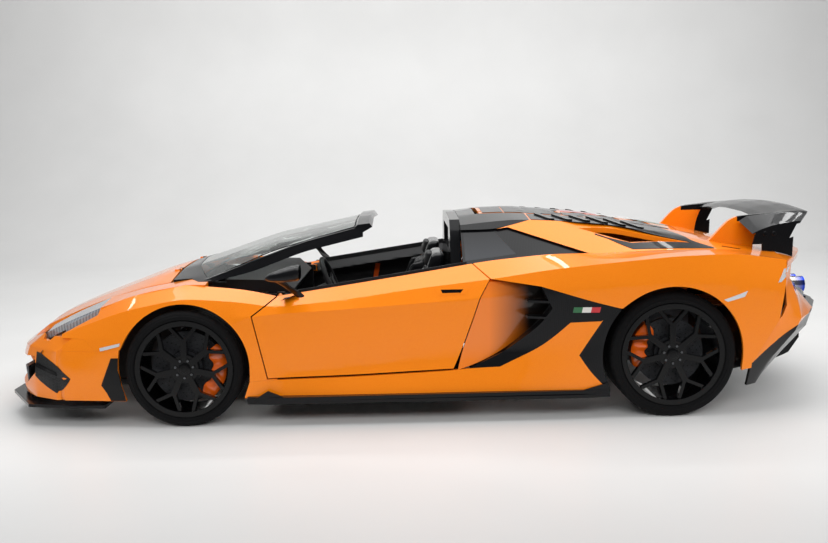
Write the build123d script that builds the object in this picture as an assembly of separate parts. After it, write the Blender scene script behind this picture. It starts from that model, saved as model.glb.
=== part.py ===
"""A two-seat open mid-engined supercar, as an assembly of its real panels, cabin, glass, lamps,
running gear and aerofoil.

Millimetres, +Z up. The nose points to -X and the driver's (left) side is -Y. Every table gives stations
behind the front axle and half widths from the centre plane, for one side; the other side is its mirror.
The last function shifts the nodes so that the origin is on the ground under the middle of the car.
"""

import os
from math import cos, hypot, radians, sin

from build123d import *

# ---------------------------------------------------------------- driving sizes
LENGTH = 4943
WHEELBASE = 2700
FRONT_OVERHANG = 1150
NOSE = -FRONT_OVERHANG
TAIL = LENGTH - FRONT_OVERHANG
HEIGHT = 1136

SKIN = 24            # a body panel with its inner frame
DOOR_DEPTH = 88      # outer skin to inner trim
SHUT_GAP = 7         # round a door or lid
PANEL_GAP = 0.3      # between fixed pieces
GLASS = 6
FLOOR = 118          # underside of the tub
FLOOR_THICK = 32

# ---------------------------------------------------------------- body sections
# Columns: station, then (half width, height) of the sill's lower edge, the lower crease, the hip crease,
# the shoulder crease and the belt edge.
SIDE = (
    (-700, (905, 150), (925, 300), (905, 430), (860, 520), (752, 572)),
    (-330, (962, 150), (972, 330), (972, 520), (932, 652), (805, 715)),
    (0, (985, 150), (998, 380), (995, 600), (960, 718), (832, 778)),
    (330, (975, 155), (980, 330), (980, 605), (950, 690), (832, 745)),
    (510, (965, 160), (952, 290), (966, 622), (942, 655), (848, 705)),
    (900, (980, 156), (936, 302), (965, 640), (930, 688), (838, 757)),
    (1300, (985, 152), (940, 345), (966, 662), (930, 741), (830, 814)),
    (1700, (985, 152), (948, 380), (976, 690), (948, 785), (825, 874)),
    (2050, (990, 153), (975, 420), (1008, 720), (985, 838), (822, 905)),
    (2350, (1000, 168), (1012, 420), (1038, 745), (1016, 868), (812, 902)),
    (2700, (1010, 200), (1030, 450), (1049, 765), (1030, 898), (800, 912)),
    (3060, (1000, 250), (1020, 450), (1038, 745), (1002, 902), (790, 905)),
    (3360, (940, 300), (962, 450), (974, 700), (932, 850), (765, 878)),
)
# Columns: station, then (half width, height) of the belt edge, the bonnet's side edge, its crease and the centre.
NOSE_TOP = (
    (-1060, (480, 396), (400, 410), (200, 436), (0, 444)),
    (-930, (650, 462), (450, 505), (220, 538), (0, 546)),
    (-700, (752, 572), (520, 606), (260, 632), (0, 640)),
    (-500, (790, 652), (570, 680), (300, 702), (0, 712)),
    (-250, (815, 735), (620, 748), (350, 788), (0, 802)),
    (0, (832, 778), (660, 788), (400, 840), (0, 860)),
    (110, (836, 776), (680, 790), (420, 848), (0, 874)),
)
# The tail's top. Columns: station, then (half width, height) of the buttress crest, the engine cover's side edge
# and the centre. Its foot is the side's belt edge.
TAIL_TOP = (
    (1561, (583, 1060), (330, 1098), (0, 1110)),
    (1700, (586, 1074), (330, 1110), (0, 1128)),
    (1875, (589, 1086), (332, 1112), (0, 1134)),
    (2050, (592, 1078), (335, 1098), (0, 1120)),
    (2350, (596, 1058), (340, 1074), (0, 1088)),
    (2700, (600, 998), (345, 1016), (0, 1036)),
    (3060, (604, 926), (350, 948), (0, 964)),
    (3340, (606, 886), (360, 890), (0, 893)),
)
# The nose across the car. Columns: half width, then (station, height) of the lip, the chin, the brow and the top.
NOSE_FACE = (
    (0, (-1128, 150), (-1150, 300), (-1142, 384), (-1062, 440)),
    (250, (-1122, 150), (-1142, 300), (-1124, 392), (-1048, 444)),
    (500, (-1080, 150), (-1092, 290), (-1056, 400), (-990, 448)),
    (700, (-985, 152), (-1000, 280), (-950, 428), (-860, 500)),
    (820, (-880, 155), (-880, 290), (-820, 430), (-700, 540)),
    (895, (-735, 150), (-740, 290), (-725, 425), (-610, 500)),
)
# The tail's plan at each height. Columns: height, then (station, half width) from the quarter panel's end to the
# middle of the tail.
TAIL_PLAN = (
    (150, (3105, 950), (3200, 880), (3270, 740), (3340, 400), (3360, 0)),
    (300, (3130, 985), (3280, 905), (3390, 760), (3600, 380), (3640, 0)),
    (450, (3200, 985), (3410, 905), (3540, 740), (3735, 330), (3765, 0)),
    (520, (3240, 987), (3450, 890), (3590, 690), (3775, 290), (3788, 0)),
    (640, (3290, 985), (3430, 880), (3500, 700), (3640, 330), (3660, 0)),
    (740, (3312, 970), (3395, 850), (3425, 700), (3520, 330), (3545, 0)),
    (828, (3340, 943), (3410, 828), (3500, 634), (3622, 338), (3722, 0)),
)
# The ducktail under the aerofoil. Columns: station, then (half width, height) of the lip, the shelf and the centre.
DUCKTAIL = (
    (3340.3, (945, 846), (765, 880), (606, 886), (0, 893)),
    (3420, (820, 846), (720, 866), (500, 876), (0, 880)),
    (3520, (620, 844), (540, 856), (300, 864), (0, 868)),
    (3650, (340, 838), (290, 844), (150, 850), (0, 852)),
    (3740, (110, 830), (90, 834), (50, 836), (0, 837)),
)

# ---------------------------------------------------------------- shut lines, side view (station, height)
DOOR_LINE = (
    (460, 262), (387, 610), (512, 700), (560, 1000), (1700, 1000), (1700, 788),
    (1644, 697), (1586, 530), (1523, 360), (1508, 320), (1490, 292), (914, 268),
)
DOOR_REAR_PLAN = ((300, -1200), (1700, -1200), (1700, -950), (1607, -825), (1600, -600), (300, -600))
# the scoop behind the door, the dark trim round it and the dark guard ahead of the rear wheel
SCOOP_LINE = ((1644, 697), (1700, 788), (1976, 745), (2036, 622), (1970, 529), (1776, 382), (1580, 293), (1514, 284),
              (1530, 360), (1586, 530))
TRIM_LINE = ((1976, 745), (2300, 644), (2405, 619), (2300, 549), (2135, 542), (1997, 416), (1747, 298), (1580, 293),
             (1776, 382), (1970, 529), (2036, 622))
GUARD_LINE = ((2183, 357), (2310, 556), (2395, 612), (2440, 618), (2440, 150), (2352, 150), (2244, 260))
SCOOP_DEPTH = ((1500, 0), (1640, 14), (1800, 50), (1950, 105), (2050, 128))  # how far it lies inside the skin
TRIM_DEPTH = 84
# the dark window panel under each buttress, its pane, and the dark roof piece ahead of the buttresses
WINDOW_LINE = ((1555, 800), (1555, 1034), (1762, 1036), (1831, 1046), (2280, 900), (2280, 800))
PANE_LINE = ((1575, 872), (1575, 1022), (1757, 1020), (1862, 905))
ROOF_LINE = ((1555, 1034), (1555, 1200), (1965, 1200), (1965, 1083), (1762, 1036))
WINDOW_INSET = 12
TAIL_SHUT = ((3130, 100), (3140, 290), (3291, 527), (3323, 720), (3338, 804), (3340, 1000))
LOWER_TAIL_LINE = ((2950, 60), (2950, 285), (3150, 288), (3245, 370), (3335, 437), (3408, 474), (3495, 512),
                   (3608, 528), (3700, 500), (3900, 500), (3900, 60))
ROCKER_LINE = (
    (300, 100), (300, 246), (460, 250), (914, 256), (1490, 281), (1580, 293), (1747, 298), (1997, 416), (2135, 542),
    (2300, 549), (2405, 619), (2450, 619), (2450, 100),
)
HEADLAMP_LINE = ((-848, 470), (-795, 470), (-700, 520), (-500, 620), (-500, 700), (-700, 700), (-848, 560))
HOOD_PLAN = ((-1035, 0), (-1020, -230), (-975, -400), (-930, -440), (-500, -560), (-135, -628), (-135, 628),
             (-500, 560), (-930, 440), (-975, 400), (-1020, 230))
COWL_PLAN = ((-108, 0), (-114, -350), (-115, -637), (-1.5, -657), (46, -738.6), (200, -745), (200, 745),
             (46, 738.6), (-1.5, 657), (-115, 637), (-114, 350))
COVER_PLAN = ((1690, -320), (2900, -340), (2940, 0), (2900, 340), (1690, 320))
COVER_OPENING = ((1664, -327), (2904, -347), (2954, 0), (2904, 347), (1664, 327))
# openings across the car (half width, height)
INTAKE_LINE = ((190, 205), (300, 330), (560, 352), (760, 380), (820, 300), (700, 195))

# ---------------------------------------------------------------- wheels
# track = half track, face = spoke face outboard of the wheel plane, disc = brake disc face outboard of it.
WHEELS = {
    "front": dict(x=0, track=860, radius=326, width=255, rim=271, face=106, disc=26, disc_radius=198),
    "rear": dict(x=WHEELBASE, track=840, radius=350, width=345, rim=284, face=150, disc=70, disc_radius=190),
}
SPOKES = 7
SPOKE_FORK = 0.62     # where a spoke forks, as a share of the rim radius
FORK_ANGLE = 17       # half angle between a fork's two ends
SPOKE_WIDTH = 34
ARM_WIDTH = 19
SPOKE_DEPTH = 30
HUB_RADIUS = 62
STUB_RADIUS = 30
PIN_CLEARANCE = 0.3
DISC_DEPTH = 34
HAT_RADIUS = 92
HAT_DEPTH = 40
BARREL_WALL = 8
ARCH = {"front": 368, "rear": 392}
KINGPIN_RADIUS = 14
KINGPIN_OFFSET = 84   # inboard of the wheel plane
BALL_HEIGHT = 120     # ball joints above and below the hub

# ---------------------------------------------------------------- hinges
DOOR_PIVOT = (522, 700)
DOOR_TILT = 8
DOOR_PIN_RADIUS = 8
HOOD_HINGE = (-137, 811)
HOOD_HINGE_Y = 360
COVER_HINGE = (1696, 1101)
COVER_HINGE_Y = 250
LID_PIN_RADIUS = 5
LID_LUG_RADIUS = 10


# ---------------------------------------------------------------- helpers
def inner_line(points, depth):
    """An open line offset to its right by depth, with mitred corners."""
    normals = []
    for (u0, v0), (u1, v1) in zip(points, points[1:]):
        run = hypot(u1 - u0, v1 - v0)
        normals.append(((v1 - v0) / run, -(u1 - u0) / run))
    out = []
    for i, (u, v) in enumerate(points):
        before = normals[max(i - 1, 0)]
        after = normals[min(i, len(normals) - 1)]
        share = 1 + before[0] * after[0] + before[1] * after[1]
        out.append((u + depth * (before[0] + after[0]) / share, v + depth * (before[1] + after[1]) / share))
    return out


def face_of(points):
    return make_face(Polyline(*points, close=True))


def side_loft(rows, depth):
    """The left side's shell: rows of station and (half width, height) points, going up and inboard."""
    faces = []
    for x, *line in rows:
        left = [(-w, z) for w, z in line]
        faces.append(face_of([(x, y, z) for y, z in left + inner_line(left, depth)[::-1]]))
    return loft(faces, ruled=True)


def full_loft(rows, depth):
    """A shell right across the car: each row's points run from the left edge to the centre, and are mirrored."""
    faces = []
    for x, *line in rows:
        left = [(-w, z) for w, z in line]
        whole = left + [(-y, z) for y, z in left[-2::-1]]
        faces.append(face_of([(x, y, z) for y, z in whole + inner_line(whole, depth)[::-1]]))
    return loft(faces, ruled=True)


def section(x):
    """The side's points at any station."""
    for (x0, *here), (x1, *there) in zip(SIDE, SIDE[1:]):
        if x0 <= x <= x1:
            share = (x - x0) / (x1 - x0)
            return [(w + (v - w) * share, z + (h - z) * share) for (w, z), (v, h) in zip(here, there)]


def inset(line, depth):
    """A left side section (half width, height) moved inside the skin by depth."""
    return [(-y, z) for y, z in inner_line([(-w, z) for w, z in line], depth)]


def box(x0, x1, y0, y1, z0, z1):
    return Pos((x0 + x1) / 2, (y0 + y1) / 2, (z0 + z1) / 2) * Box(abs(x1 - x0), abs(y1 - y0), abs(z1 - z0))


def grown(line, gap):
    """A closed outline moved outwards by gap, with mitred corners."""
    area = sum(u0 * v1 - u1 * v0 for (u0, v0), (u1, v1) in zip(line, [*line[1:], line[0]]))
    ring = [line[-1], *line, line[0]]
    return inner_line(ring, gap if area > 0 else -gap)[1:-1]


def plate(plane, line, amount, gap=0.0):
    """A closed outline in a plane, moved outwards by gap, as a straight-sided solid."""
    return extrude(plane * face_of([(u, v, 0) for u, v in grown(line, gap)]), amount=amount)


def side_plate(line, y0, y1, gap=0.0):
    """A side-view outline (station, height) carried across from y0 to y1, where y1 > y0."""
    return plate(Plane(origin=(0, y1, 0), x_dir=(1, 0, 0), z_dir=(0, -1, 0)), line, y1 - y0, gap)


def plan_plate(line, z0, z1, gap=0.0):
    """A plan-view outline (station, y) carried up from z0 to z1."""
    return plate(Plane(origin=(0, 0, z0)), line, z1 - z0, gap)


def front_plate(line, x0, x1, gap=0.0):
    """A front-view outline (y, height) carried back from x0 to x1."""
    return plate(Plane(origin=(x0, 0, 0), x_dir=(0, 1, 0), z_dir=(1, 0, 0)), line, x1 - x0, gap)


def tube_y(x, z, radius, y0, y1):
    return Pos(x, (y0 + y1) / 2, z) * Rot(90, 0, 0) * Cylinder(radius, abs(y1 - y0))


def bar(a, b, radius):
    """A round bar between two points."""
    start, end = Vector(*a), Vector(*b)
    disc = Plane(origin=start, z_dir=end - start) * Circle(radius)
    return extrude(disc, amount=(end - start).length)


def other_side(shape):
    return mirror(shape, about=Plane.XZ)


def both_sides(shape):
    return [shape, other_side(shape)]


def arch(axle, y0=-1300, y1=-500, extra=0):
    wheel = WHEELS[axle]
    return tube_y(wheel["x"], wheel["radius"], ARCH[axle] + extra, y0, y1)


NODES = {}


def node(name, *shapes):
    """Files one node: its solids don't touch each other."""
    solids = []
    for shape in shapes:
        for one in shape if isinstance(shape, (list, tuple)) else [shape]:
            solids += one.solids()
    NODES[name] = solids


# ---------------------------------------------------------------- body panels
def nose_shell():
    faces = []
    for y, *line in NOSE_FACE:
        face = [(x, z) for x, z in line]
        ring = face + inner_line(face, SKIN)[::-1]
        faces.append(face_of([(x, -y, z) for x, z in ring]))
    return loft(faces, ruled=True)


def front_frame():
    """Crash rails from the tub to the bumper, for both sides."""
    rails = box(-1000, -640.3, -330, -270, 200, 290) + box(-1036, -1000, -620, 0, 200, 290)
    rails = rails + other_side(rails)
    outer = nose_shell()
    return max((rails - outer - other_side(outer)).solids(), key=lambda s: s.volume)


def front_bumper():
    left = nose_shell()
    left -= plan_plate(((-760, -893), (-400, -893), (-400, -1000), (-760, -1000)), 0, 600)
    left -= front_plate([(-y, z) for y, z in INTAKE_LINE], NOSE - 50, -400)
    left -= side_plate(HEADLAMP_LINE, -800, -560, PANEL_GAP)
    left -= side_plate(((-860, 500), (-560, 498), (-300, 498), (-300, 800), (-860, 800)), -1000, -560)
    return left + other_side(left)


def front_fender():
    skin = side_loft([row for row in SIDE if row[0] <= 510], SKIN)
    top = side_loft([(x, *points[:2]) for x, *points in NOSE_TOP if x >= -700], SKIN)
    fender = skin + top
    fender -= arch("front")
    fender -= side_plate(DOOR_LINE, -1300, -500, SHUT_GAP)
    fender -= side_plate(ROCKER_LINE, -1300, -500, PANEL_GAP)
    fender -= side_plate(HEADLAMP_LINE, -1000, -400, PANEL_GAP)
    fender -= side_plate(((-860, 100), (-860, 500), (-560, 498), (-500, 440), (-330, 440), (-330, 100)),
                         -1300, -500, PANEL_GAP)
    fender -= plan_plate(((-40, -595), (55, -754), (600, -762), (600, 0), (-40, 0)), 600, 1000)
    return max(fender.solids(), key=lambda s: s.volume)


def vane():
    """The dark corner blade between the bumper and the front wheel."""
    skin = side_loft([row for row in SIDE if row[0] <= 0], SKIN)
    blade = skin & side_plate(((-690, 130), (-690, 498), (-560, 498), (-500, 440), (-330, 440), (-330, 130)),
                              -1300, -700)
    blade &= plan_plate(((-760, -893.3), (-200, -893.3), (-200, -1100), (-760, -1100)), 0, 600)
    blade -= arch("front", extra=6)
    blade -= side_plate(((-640, 190), (-620, 400), (-520, 400), (-500, 190)), -1300, -700)
    return blade


def bonnet():
    lid = full_loft([(x, *points[1:]) for x, *points in NOSE_TOP], SKIN)
    lid &= plan_plate(HOOD_PLAN, 300, 1000)
    x, z = HOOD_HINGE
    for side in (-1, 1):
        y = side * HOOD_HINGE_Y
        lid -= box(x - 24, x + 20, y - side * 44, y - side * 16, z - 100, z + 100)
        lid += tube_y(x, z, LID_LUG_RADIUS, y - 15, y + 15) + box(x - 34, x, y - 15, y + 15, z - 9, z + 3)
        lid -= tube_y(x, z, LID_PIN_RADIUS + PIN_CLEARANCE, y - 30, y + 30)
    return lid


def side_skin():
    return side_loft([row for row in SIDE if row[0] >= 330], SKIN)


def rocker():
    panel = side_skin() & side_plate(ROCKER_LINE, -1300, -500, -PANEL_GAP)
    panel -= side_plate(GUARD_LINE, -1300, -500, PANEL_GAP) + arch("rear") + arch("front")
    return max(panel.solids(), key=lambda s: s.volume)


def rear_quarter():
    panel = side_skin()
    panel -= side_plate(DOOR_LINE, -1300, -500, SHUT_GAP) & plan_plate(DOOR_REAR_PLAN, 0, 1100, SHUT_GAP)
    for line in (SCOOP_LINE, TRIM_LINE, GUARD_LINE):
        panel -= side_plate(line, -1300, -500, PANEL_GAP)
    panel -= side_plate(ROCKER_LINE, -1300, -500)
    panel -= arch("rear")
    panel -= box(0, 1580, -1300, -500, 0, 1200)
    panel -= side_plate((*TAIL_SHUT, (3600, 1000), (3600, 100)), -1300, -500, PANEL_GAP)
    return max(panel.solids(), key=lambda s: s.volume)


def side_intake():
    """The painted scoop behind the door, which runs inwards to the air intake."""
    rows = [(x, *inset(section(x), depth)) for x, depth in SCOOP_DEPTH]
    scoop = side_loft(rows, 14) & side_plate(SCOOP_LINE, -1300, -500)
    scoop -= side_plate(ROCKER_LINE, -1300, -500) + side_plate(DOOR_LINE, -1300, -500, SHUT_GAP)
    return max(scoop.solids(), key=lambda s: s.volume)


def intake_trim():
    """The dark frame of the intake with its two vanes, and the guard ahead of the rear wheel."""
    thick = side_loft([row for row in SIDE if 1300 <= row[0] <= 2700], TRIM_DEPTH)
    frame = thick & side_plate(TRIM_LINE, -1300, -500)
    for z in (560, 650):
        vane = side_plate(((1900, z + 8), (2060, z), (2060, z + 12), (1900, z + 20)), -1300, -500)
        frame += thick & vane & side_plate(SCOOP_LINE, -1300, -500)
    frame -= arch("rear") + side_plate(ROCKER_LINE, -1300, -500)
    guard = side_skin() & side_plate(GUARD_LINE, -1300, -500)
    return [max(frame.solids(), key=lambda s: s.volume), guard - arch("rear")]


def skirt():
    blade = plan_plate(((345, -940), (345, -985), (470, -1012), (2160, -1026), (2350, -1010), (2350, -940)), 124, 164)
    fin = side_plate(((380, 150), (463, 200), (581, 150)), -1006, -998)
    tail = side_plate(((2150, 150), (2345, 205), (2345, 150)), -1010, -1002)
    ledge = side_plate(((300, 142), (2400, 142), (2400, 300), (300, 300)), -1100, -1014)
    return blade + fin + tail - ledge - side_skin() - arch("rear") - arch("front")


def splitter():
    plan = ((-1140, 0), (-1136, 520), (-912, 872), (-600, 940), (-455, 946), (-455, 720), (-700, 560), (-760, 0))
    half = plan_plate([(x, -y) for x, y in plan], 108, 126)
    for x0, x1, y in ((-1120, -760, 200), (-1080, -700, 460), (-960, -600, 700)):
        half += box(x0, x1, -y - 4, -y + 4, 126, 150 - PANEL_GAP)
    return half + other_side(half)


def deck_shell():
    quarter = side_skin()
    rows = []
    for x, *points in TAIL_TOP:
        w, z = section(x)[-1]
        rows.append((x, (w - PANEL_GAP, z), *points))
    return full_loft(rows, SKIN) - plan_plate(COVER_OPENING, 700, 1300) - quarter - other_side(quarter)


def rear_deck():
    """The painted deck with its two buttresses."""
    deck = deck_shell() - side_plate(ROOF_LINE, -1000, 1000, PANEL_GAP)
    deck -= side_plate(WINDOW_LINE, -1000, 1000, PANEL_GAP)
    for side in (-1, 1):
        vent = [(2240, 640), (2440, 620), (2860, 690), (2520, 730)]
        deck -= plan_plate([(x, side * y) for x, y in vent], 800, 1100)
    return max(deck.solids(), key=lambda s: s.volume)


def window_wall(depth, thick):
    """The wall from the belt to the buttress crest, lying inside the skin by depth."""
    rows = []
    for x, crest, *_ in TAIL_TOP:
        w, z = section(x)[-1]
        rows.append((x, *inset([(w - PANEL_GAP, z), crest], depth)))
    return side_loft(rows, thick)


def roof_surround():
    """The dark roof piece behind the cabin, with the window panel under each buttress."""
    top = deck_shell() & side_plate(ROOF_LINE, -1000, 1000)
    quarter = side_skin()
    wall = window_wall(WINDOW_INSET, SKIN - WINDOW_INSET) & side_plate(WINDOW_LINE, -1000, -400)
    wall -= side_plate(PANE_LINE, -1000, -400, PANEL_GAP) + quarter
    whole = top + wall + other_side(wall)
    return max(whole.solids(), key=lambda s: s.volume)


def engine_cover():
    lid = full_loft(TAIL_TOP, SKIN) & plan_plate(COVER_PLAN, 700, 1300)
    for i in range(5):
        x = 1900 + 190 * i
        for side in (-1, 1):
            slot = [(x, side * 70), (x + 90, side * 70), (x + 130, side * 290), (x + 40, side * 290)]
            lid -= plan_plate(slot, 700, 1300)
    x, z = COVER_HINGE
    for side in (-1, 1):
        y = side * COVER_HINGE_Y
        lid -= box(x - 16, x + 20, y - side * 44, y - side * 16, z - 100, z + 100)
        lid += tube_y(x, z, LID_LUG_RADIUS, y - 15, y + 15) + box(x, x + 34, y - 15, y + 15, z - 14, z + 3)
        lid -= tube_y(x, z, LID_PIN_RADIUS + PIN_CLEARANCE, y - 30, y + 30)
    return lid


def tail_shell():
    faces = []
    for z, *line in TAIL_PLAN:
        plan = [(x, -w) for x, w in line]
        ring = plan + inner_line(plan[::-1], SKIN)
        faces.append(face_of([(x, y, z) for x, y in ring]))
    half = loft(faces, ruled=True) - side_plate((*TAIL_SHUT, (3000, 1000), (3000, 100)), -1300, -500)
    half += side_loft(DUCKTAIL, SKIN)
    return half + other_side(half) - arch("rear", extra=20) - other_side(arch("rear", extra=20))


LAMP_LINE = ((400, 752), (850, 752), (800, 806), (400, 806))
GRILLE_LINE = ((-520, 470), (-620, 640), (-600, 738), (600, 738), (620, 640), (520, 470))
DIFFUSER_MOUTH = ((-660, 100), (-600, 400), (600, 400), (660, 100))


def rear_bumper():
    shell = tail_shell() - side_plate(LOWER_TAIL_LINE, -1100, 1100)
    shell -= front_plate(GRILLE_LINE, 3200, 3900)
    slot = side_plate(((3288, 520), (3308, 640), (3320, 716), (3336, 716), (3344, 600), (3318, 545)), -1100, -850)
    shell -= slot + other_side(slot)
    for side in (-1, 1):
        shell -= front_plate([(side * y, z) for y, z in LAMP_LINE], 3300, 3700, PANEL_GAP)
    return max(shell.solids(), key=lambda s: s.volume)


def tail_panel():
    """The dark panel between the lamps, with its mesh openings and the exhaust's cut-out."""
    panel = tail_shell() & front_plate(GRILLE_LINE, 3200, 3900, -PANEL_GAP)
    panel -= side_plate(LOWER_TAIL_LINE, -1100, 1100)
    for side in (-1, 1):
        for z in (545, 605, 665):
            slot = [(side * 150, z), (side * 540, z), (side * 560, z + 42), (side * 150, z + 42)]
            panel -= front_plate(slot, 3200, 3900)
    return panel - Pos(3700, 0, 590) * Rot(0, 90, 0) * Cylinder(120, 300)


def tail_lamp():
    return tail_shell() & front_plate([(-y, z) for y, z in LAMP_LINE], 3300, 3700)


def diffuser():
    """The dark lower tail: its skin, the rising floor and the upright fins."""
    skin = tail_shell() & side_plate(LOWER_TAIL_LINE, -1100, 1100, -PANEL_GAP)
    skin -= front_plate(DIFFUSER_MOUTH, 3200, 3900)
    floor = side_plate(((3080, 165), (3620, 382), (3700, 412), (3700, 428), (3620, 400), (3080, 185)), -640, 640)
    floor &= tail_block_low()
    for y in (-590, -350, -120, 120, 350, 590):
        fin = side_plate(((3085, 150), (3300, 196), (3440, 226), (3500, 262), (3560, 350), (3560, 376), (3085, 184)),
                         y - 5, y + 5)
        floor += fin
    return skin + floor


def tail_block_low():
    """All that lies inside the lower tail's skin."""
    faces = []
    for z, *line in TAIL_PLAN:
        plan = [(x, -w) for x, w in line] + [(x, w) for x, w in line[-2::-1]]
        faces.append(face_of([(x, y, z) for x, y in [(3000, plan[0][1]), *plan, (3000, plan[-1][1])]]))
    return loft(faces, ruled=True)


def tail_block():
    """All that lies under the tail's top."""
    faces = []
    for x, *line in [(x, section(x)[-1], *points) for x, *points in TAIL_TOP] + list(DUCKTAIL):
        half = [(-w, z) for w, z in line]
        top = half + [(-y, z) for y, z in half[-2::-1]]
        faces.append(face_of([(x, y, z) for y, z in [(top[0][0], 600), *top, (top[-1][0], 600)]]))
    return loft(faces[:len(TAIL_TOP)], ruled=True) + loft(faces[len(TAIL_TOP):], ruled=True)


# The aerofoil. Columns: half width, then (station, height) round the blade from its leading edge over the top.
WING = (
    (0, (3310, HEIGHT - 44), (3352, HEIGHT - 24), (3440, HEIGHT - 6), (3540, HEIGHT), (3588, HEIGHT - 6),
     (3586, HEIGHT - 16), (3440, HEIGHT - 24), (3360, HEIGHT - 36)),
    (300, (3310, 1084), (3352, 1104), (3440, 1122), (3540, 1128), (3588, 1122), (3586, 1112), (3440, 1104),
     (3360, 1092)),
    (560, (3300, 1062), (3340, 1082), (3440, 1100), (3540, 1108), (3586, 1102), (3584, 1092), (3440, 1082),
     (3350, 1070)),
    (620, (3180, 1050), (3226, 1078), (3400, 1096), (3540, 1104), (3580, 1096), (3576, 1084), (3400, 1078),
     (3240, 1060)),
    (752, (3214, 985), (3246, 1004), (3330, 1032), (3440, 1050), (3490, 1054), (3484, 1040), (3330, 1016),
     (3250, 990)),
)
ENDPLATE_LINE = ((3215, 925), (3220, 950), (3234, 990), (3315, 1020), (3470, 1046), (3424, 955), (3448, 963),
                 (3443, 840), (3270, 840), (3270, 925))
PYLON_LINE = ((2975, 905), (3034, 949), (3080, 1001), (3132, 1053), (3179, 1075), (3279, 1084), (3370, 1090),
              (3320, 1048), (3293, 984), (3277, 907), (3277, 850), (2975, 850))


def rear_wing():
    """The crowned blade with its turned-down ends, the end plates and the two pylons."""
    faces = []
    for y, *line in [(-y, *line) for y, *line in WING[:0:-1]] + list(WING):
        faces.append(face_of([(x, y, z) for x, z in line]))
    wing = loft(faces, ruled=True)
    for part in both_sides(side_plate(ENDPLATE_LINE, -752, -742)) + both_sides(side_plate(PYLON_LINE, -585, -555)):
        wing += part
    return wing - tail_block()


# ---------------------------------------------------------------- cabin
def pillar():
    rows = (
        (70, (738, 768), (722, 784), (688, 786), (700, 766)),
        (350, (705, 826), (684, 884), (652, 888), (668, 830)),
        (640, (655, 930), (630, 984), (598, 988), (618, 935)),
        (990, (575, 1004), (552, 1066), (520, 1070), (540, 1008)),
    )
    return loft([face_of([(x, -y, z) for y, z in line]) for x, *line in rows], ruled=True)


# The cowl. Columns: half width, then (station, height) of its front edge and its rear edge.
COWL = (
    (0, (-108, 834), (-48, 850)),
    (350, (-114, 820), (-18, 842)),
    (640, (-115, 783), (70, 803)),
    (745, (-60, 770), (130, 786)),
)
# The windscreen. Columns: half width, then (station, height) of its foot, its middle and its head.
SCREEN = (
    (0, (-47.5, 847), (440, 1002), (938, 1098)),
    (350, (-17.5, 839), (440, 986), (938, 1084)),
    (508, (30.5, 818), (440, 970), (938, 1066)),
    (690, (99.2, 792), (440, 918), (938, 1040)),
)
SCREEN_PLAN = ((-60, -745), (40, -690), (70, -686), (350, -650), (640, -595), (938, -528), (938, 528), (640, 595),
               (350, 650), (70, 686), (40, 690), (-60, 745))


def windscreen_frame():
    header = []
    for y, drop in ((-560, 38), (-300, 8), (0, 0), (300, 8), (560, 38)):
        header.append(face_of([(x, y, z - drop) for x, z in
                               ((930, 1082), (958, 1112), (1030, 1120), (1046, 1098), (985, 1064))]))
    frame = loft(header, ruled=True)
    cowl = []
    for y, *line in [(-y, *line) for y, *line in COWL[:0:-1]] + list(COWL):
        cowl.append(face_of([(x, y, z) for x, z in (*line, *[(x, z - 20) for x, z in line[::-1]])]))
    frame += loft(cowl, ruled=True) & plan_plate(COWL_PLAN, 700, 900)
    for post in both_sides(pillar()):
        frame += post
    return frame


def windscreen():
    strips = []
    for y, *line in [(-y, *line) for y, *line in SCREEN[:0:-1]] + list(SCREEN):
        strips.append(face_of([(x, y, z) for x, z in (*line, *[(x, z - GLASS) for x, z in line[::-1]])]))
    glass = (loft(strips, ruled=True) & plan_plate(SCREEN_PLAN, 700, 1200)) - windscreen_frame()
    return max(glass.solids(), key=lambda piece: piece.volume)


def rear_bulkhead():
    outline = ((-700, 150), (-700, 700), (-560, 1010), (-500, 1088), (0, 1108), (500, 1088), (560, 1010), (700, 700),
               (700, 150))
    wall = front_plate(outline, 1500, 1560)
    return wall - front_plate(((-330, 900), (-330, 1030), (330, 1030), (330, 900)), 1400, 1700)


def cabin_glass():
    pane = window_wall(WINDOW_INSET, GLASS) & side_plate(PANE_LINE, -1000, -400)
    rear = box(1520, 1520 + GLASS, -329.7, 329.7, 900.3, 1029.7)
    return both_sides(pane) + [rear]


def tub():
    floor = plan_plate(((-640, -400), (-420, -430), (420, -430), (470, -840), (1500, -840), (1560, -690),
                        (1560, 690), (1500, 840), (470, 840), (420, 430), (-420, 430), (-640, 400)),
                       FLOOR, FLOOR + FLOOR_THICK)
    tub = floor
    top = FLOOR + FLOOR_THICK
    tub += box(480, 1500, -838, -650, top, 330) + box(480, 1500, 650, 838, top, 330)
    tub += box(-640, -616, -400, 400, top, 420)
    tub += box(-40, -10, -400, 400, top, 752)
    tub += box(400, 430, -740, 740, 560, 700)
    for side in (-1, 1):
        tub += side_plate(((-640, top), (-640, 420), (-300, 600), (-40, 752), (430, 700), (430, top)),
                          min(side * 400, side * 376), max(side * 400, side * 376))
        tub += box(400, 430, side * 376, side * 740, top, 700)
        tub += box(430, 560, side * 700, side * 740, top, 700)
    return tub


def door():
    inside = side_loft([row for row in SIDE if 300 < row[0] < 2100], DOOR_DEPTH)
    panel = inside & side_plate(DOOR_LINE, -1300, -600) & plan_plate(DOOR_REAR_PLAN, 0, 1100)
    x, z = DOOR_PIVOT
    axis = Pos(x, -775, z) * Rot(DOOR_TILT, 0, 0) * Rot(90, 0, 0)
    lug = axis * Pos(0, 0, 22) * Cylinder(16, 40) + box(x, x + 60, -860, -776, z - 50, z - 6)
    panel += lug & box(300, 1000, -860, -776, 500, 760)
    return panel - axis * Cylinder(DOOR_PIN_RADIUS + PIN_CLEARANCE, 110)


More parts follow.
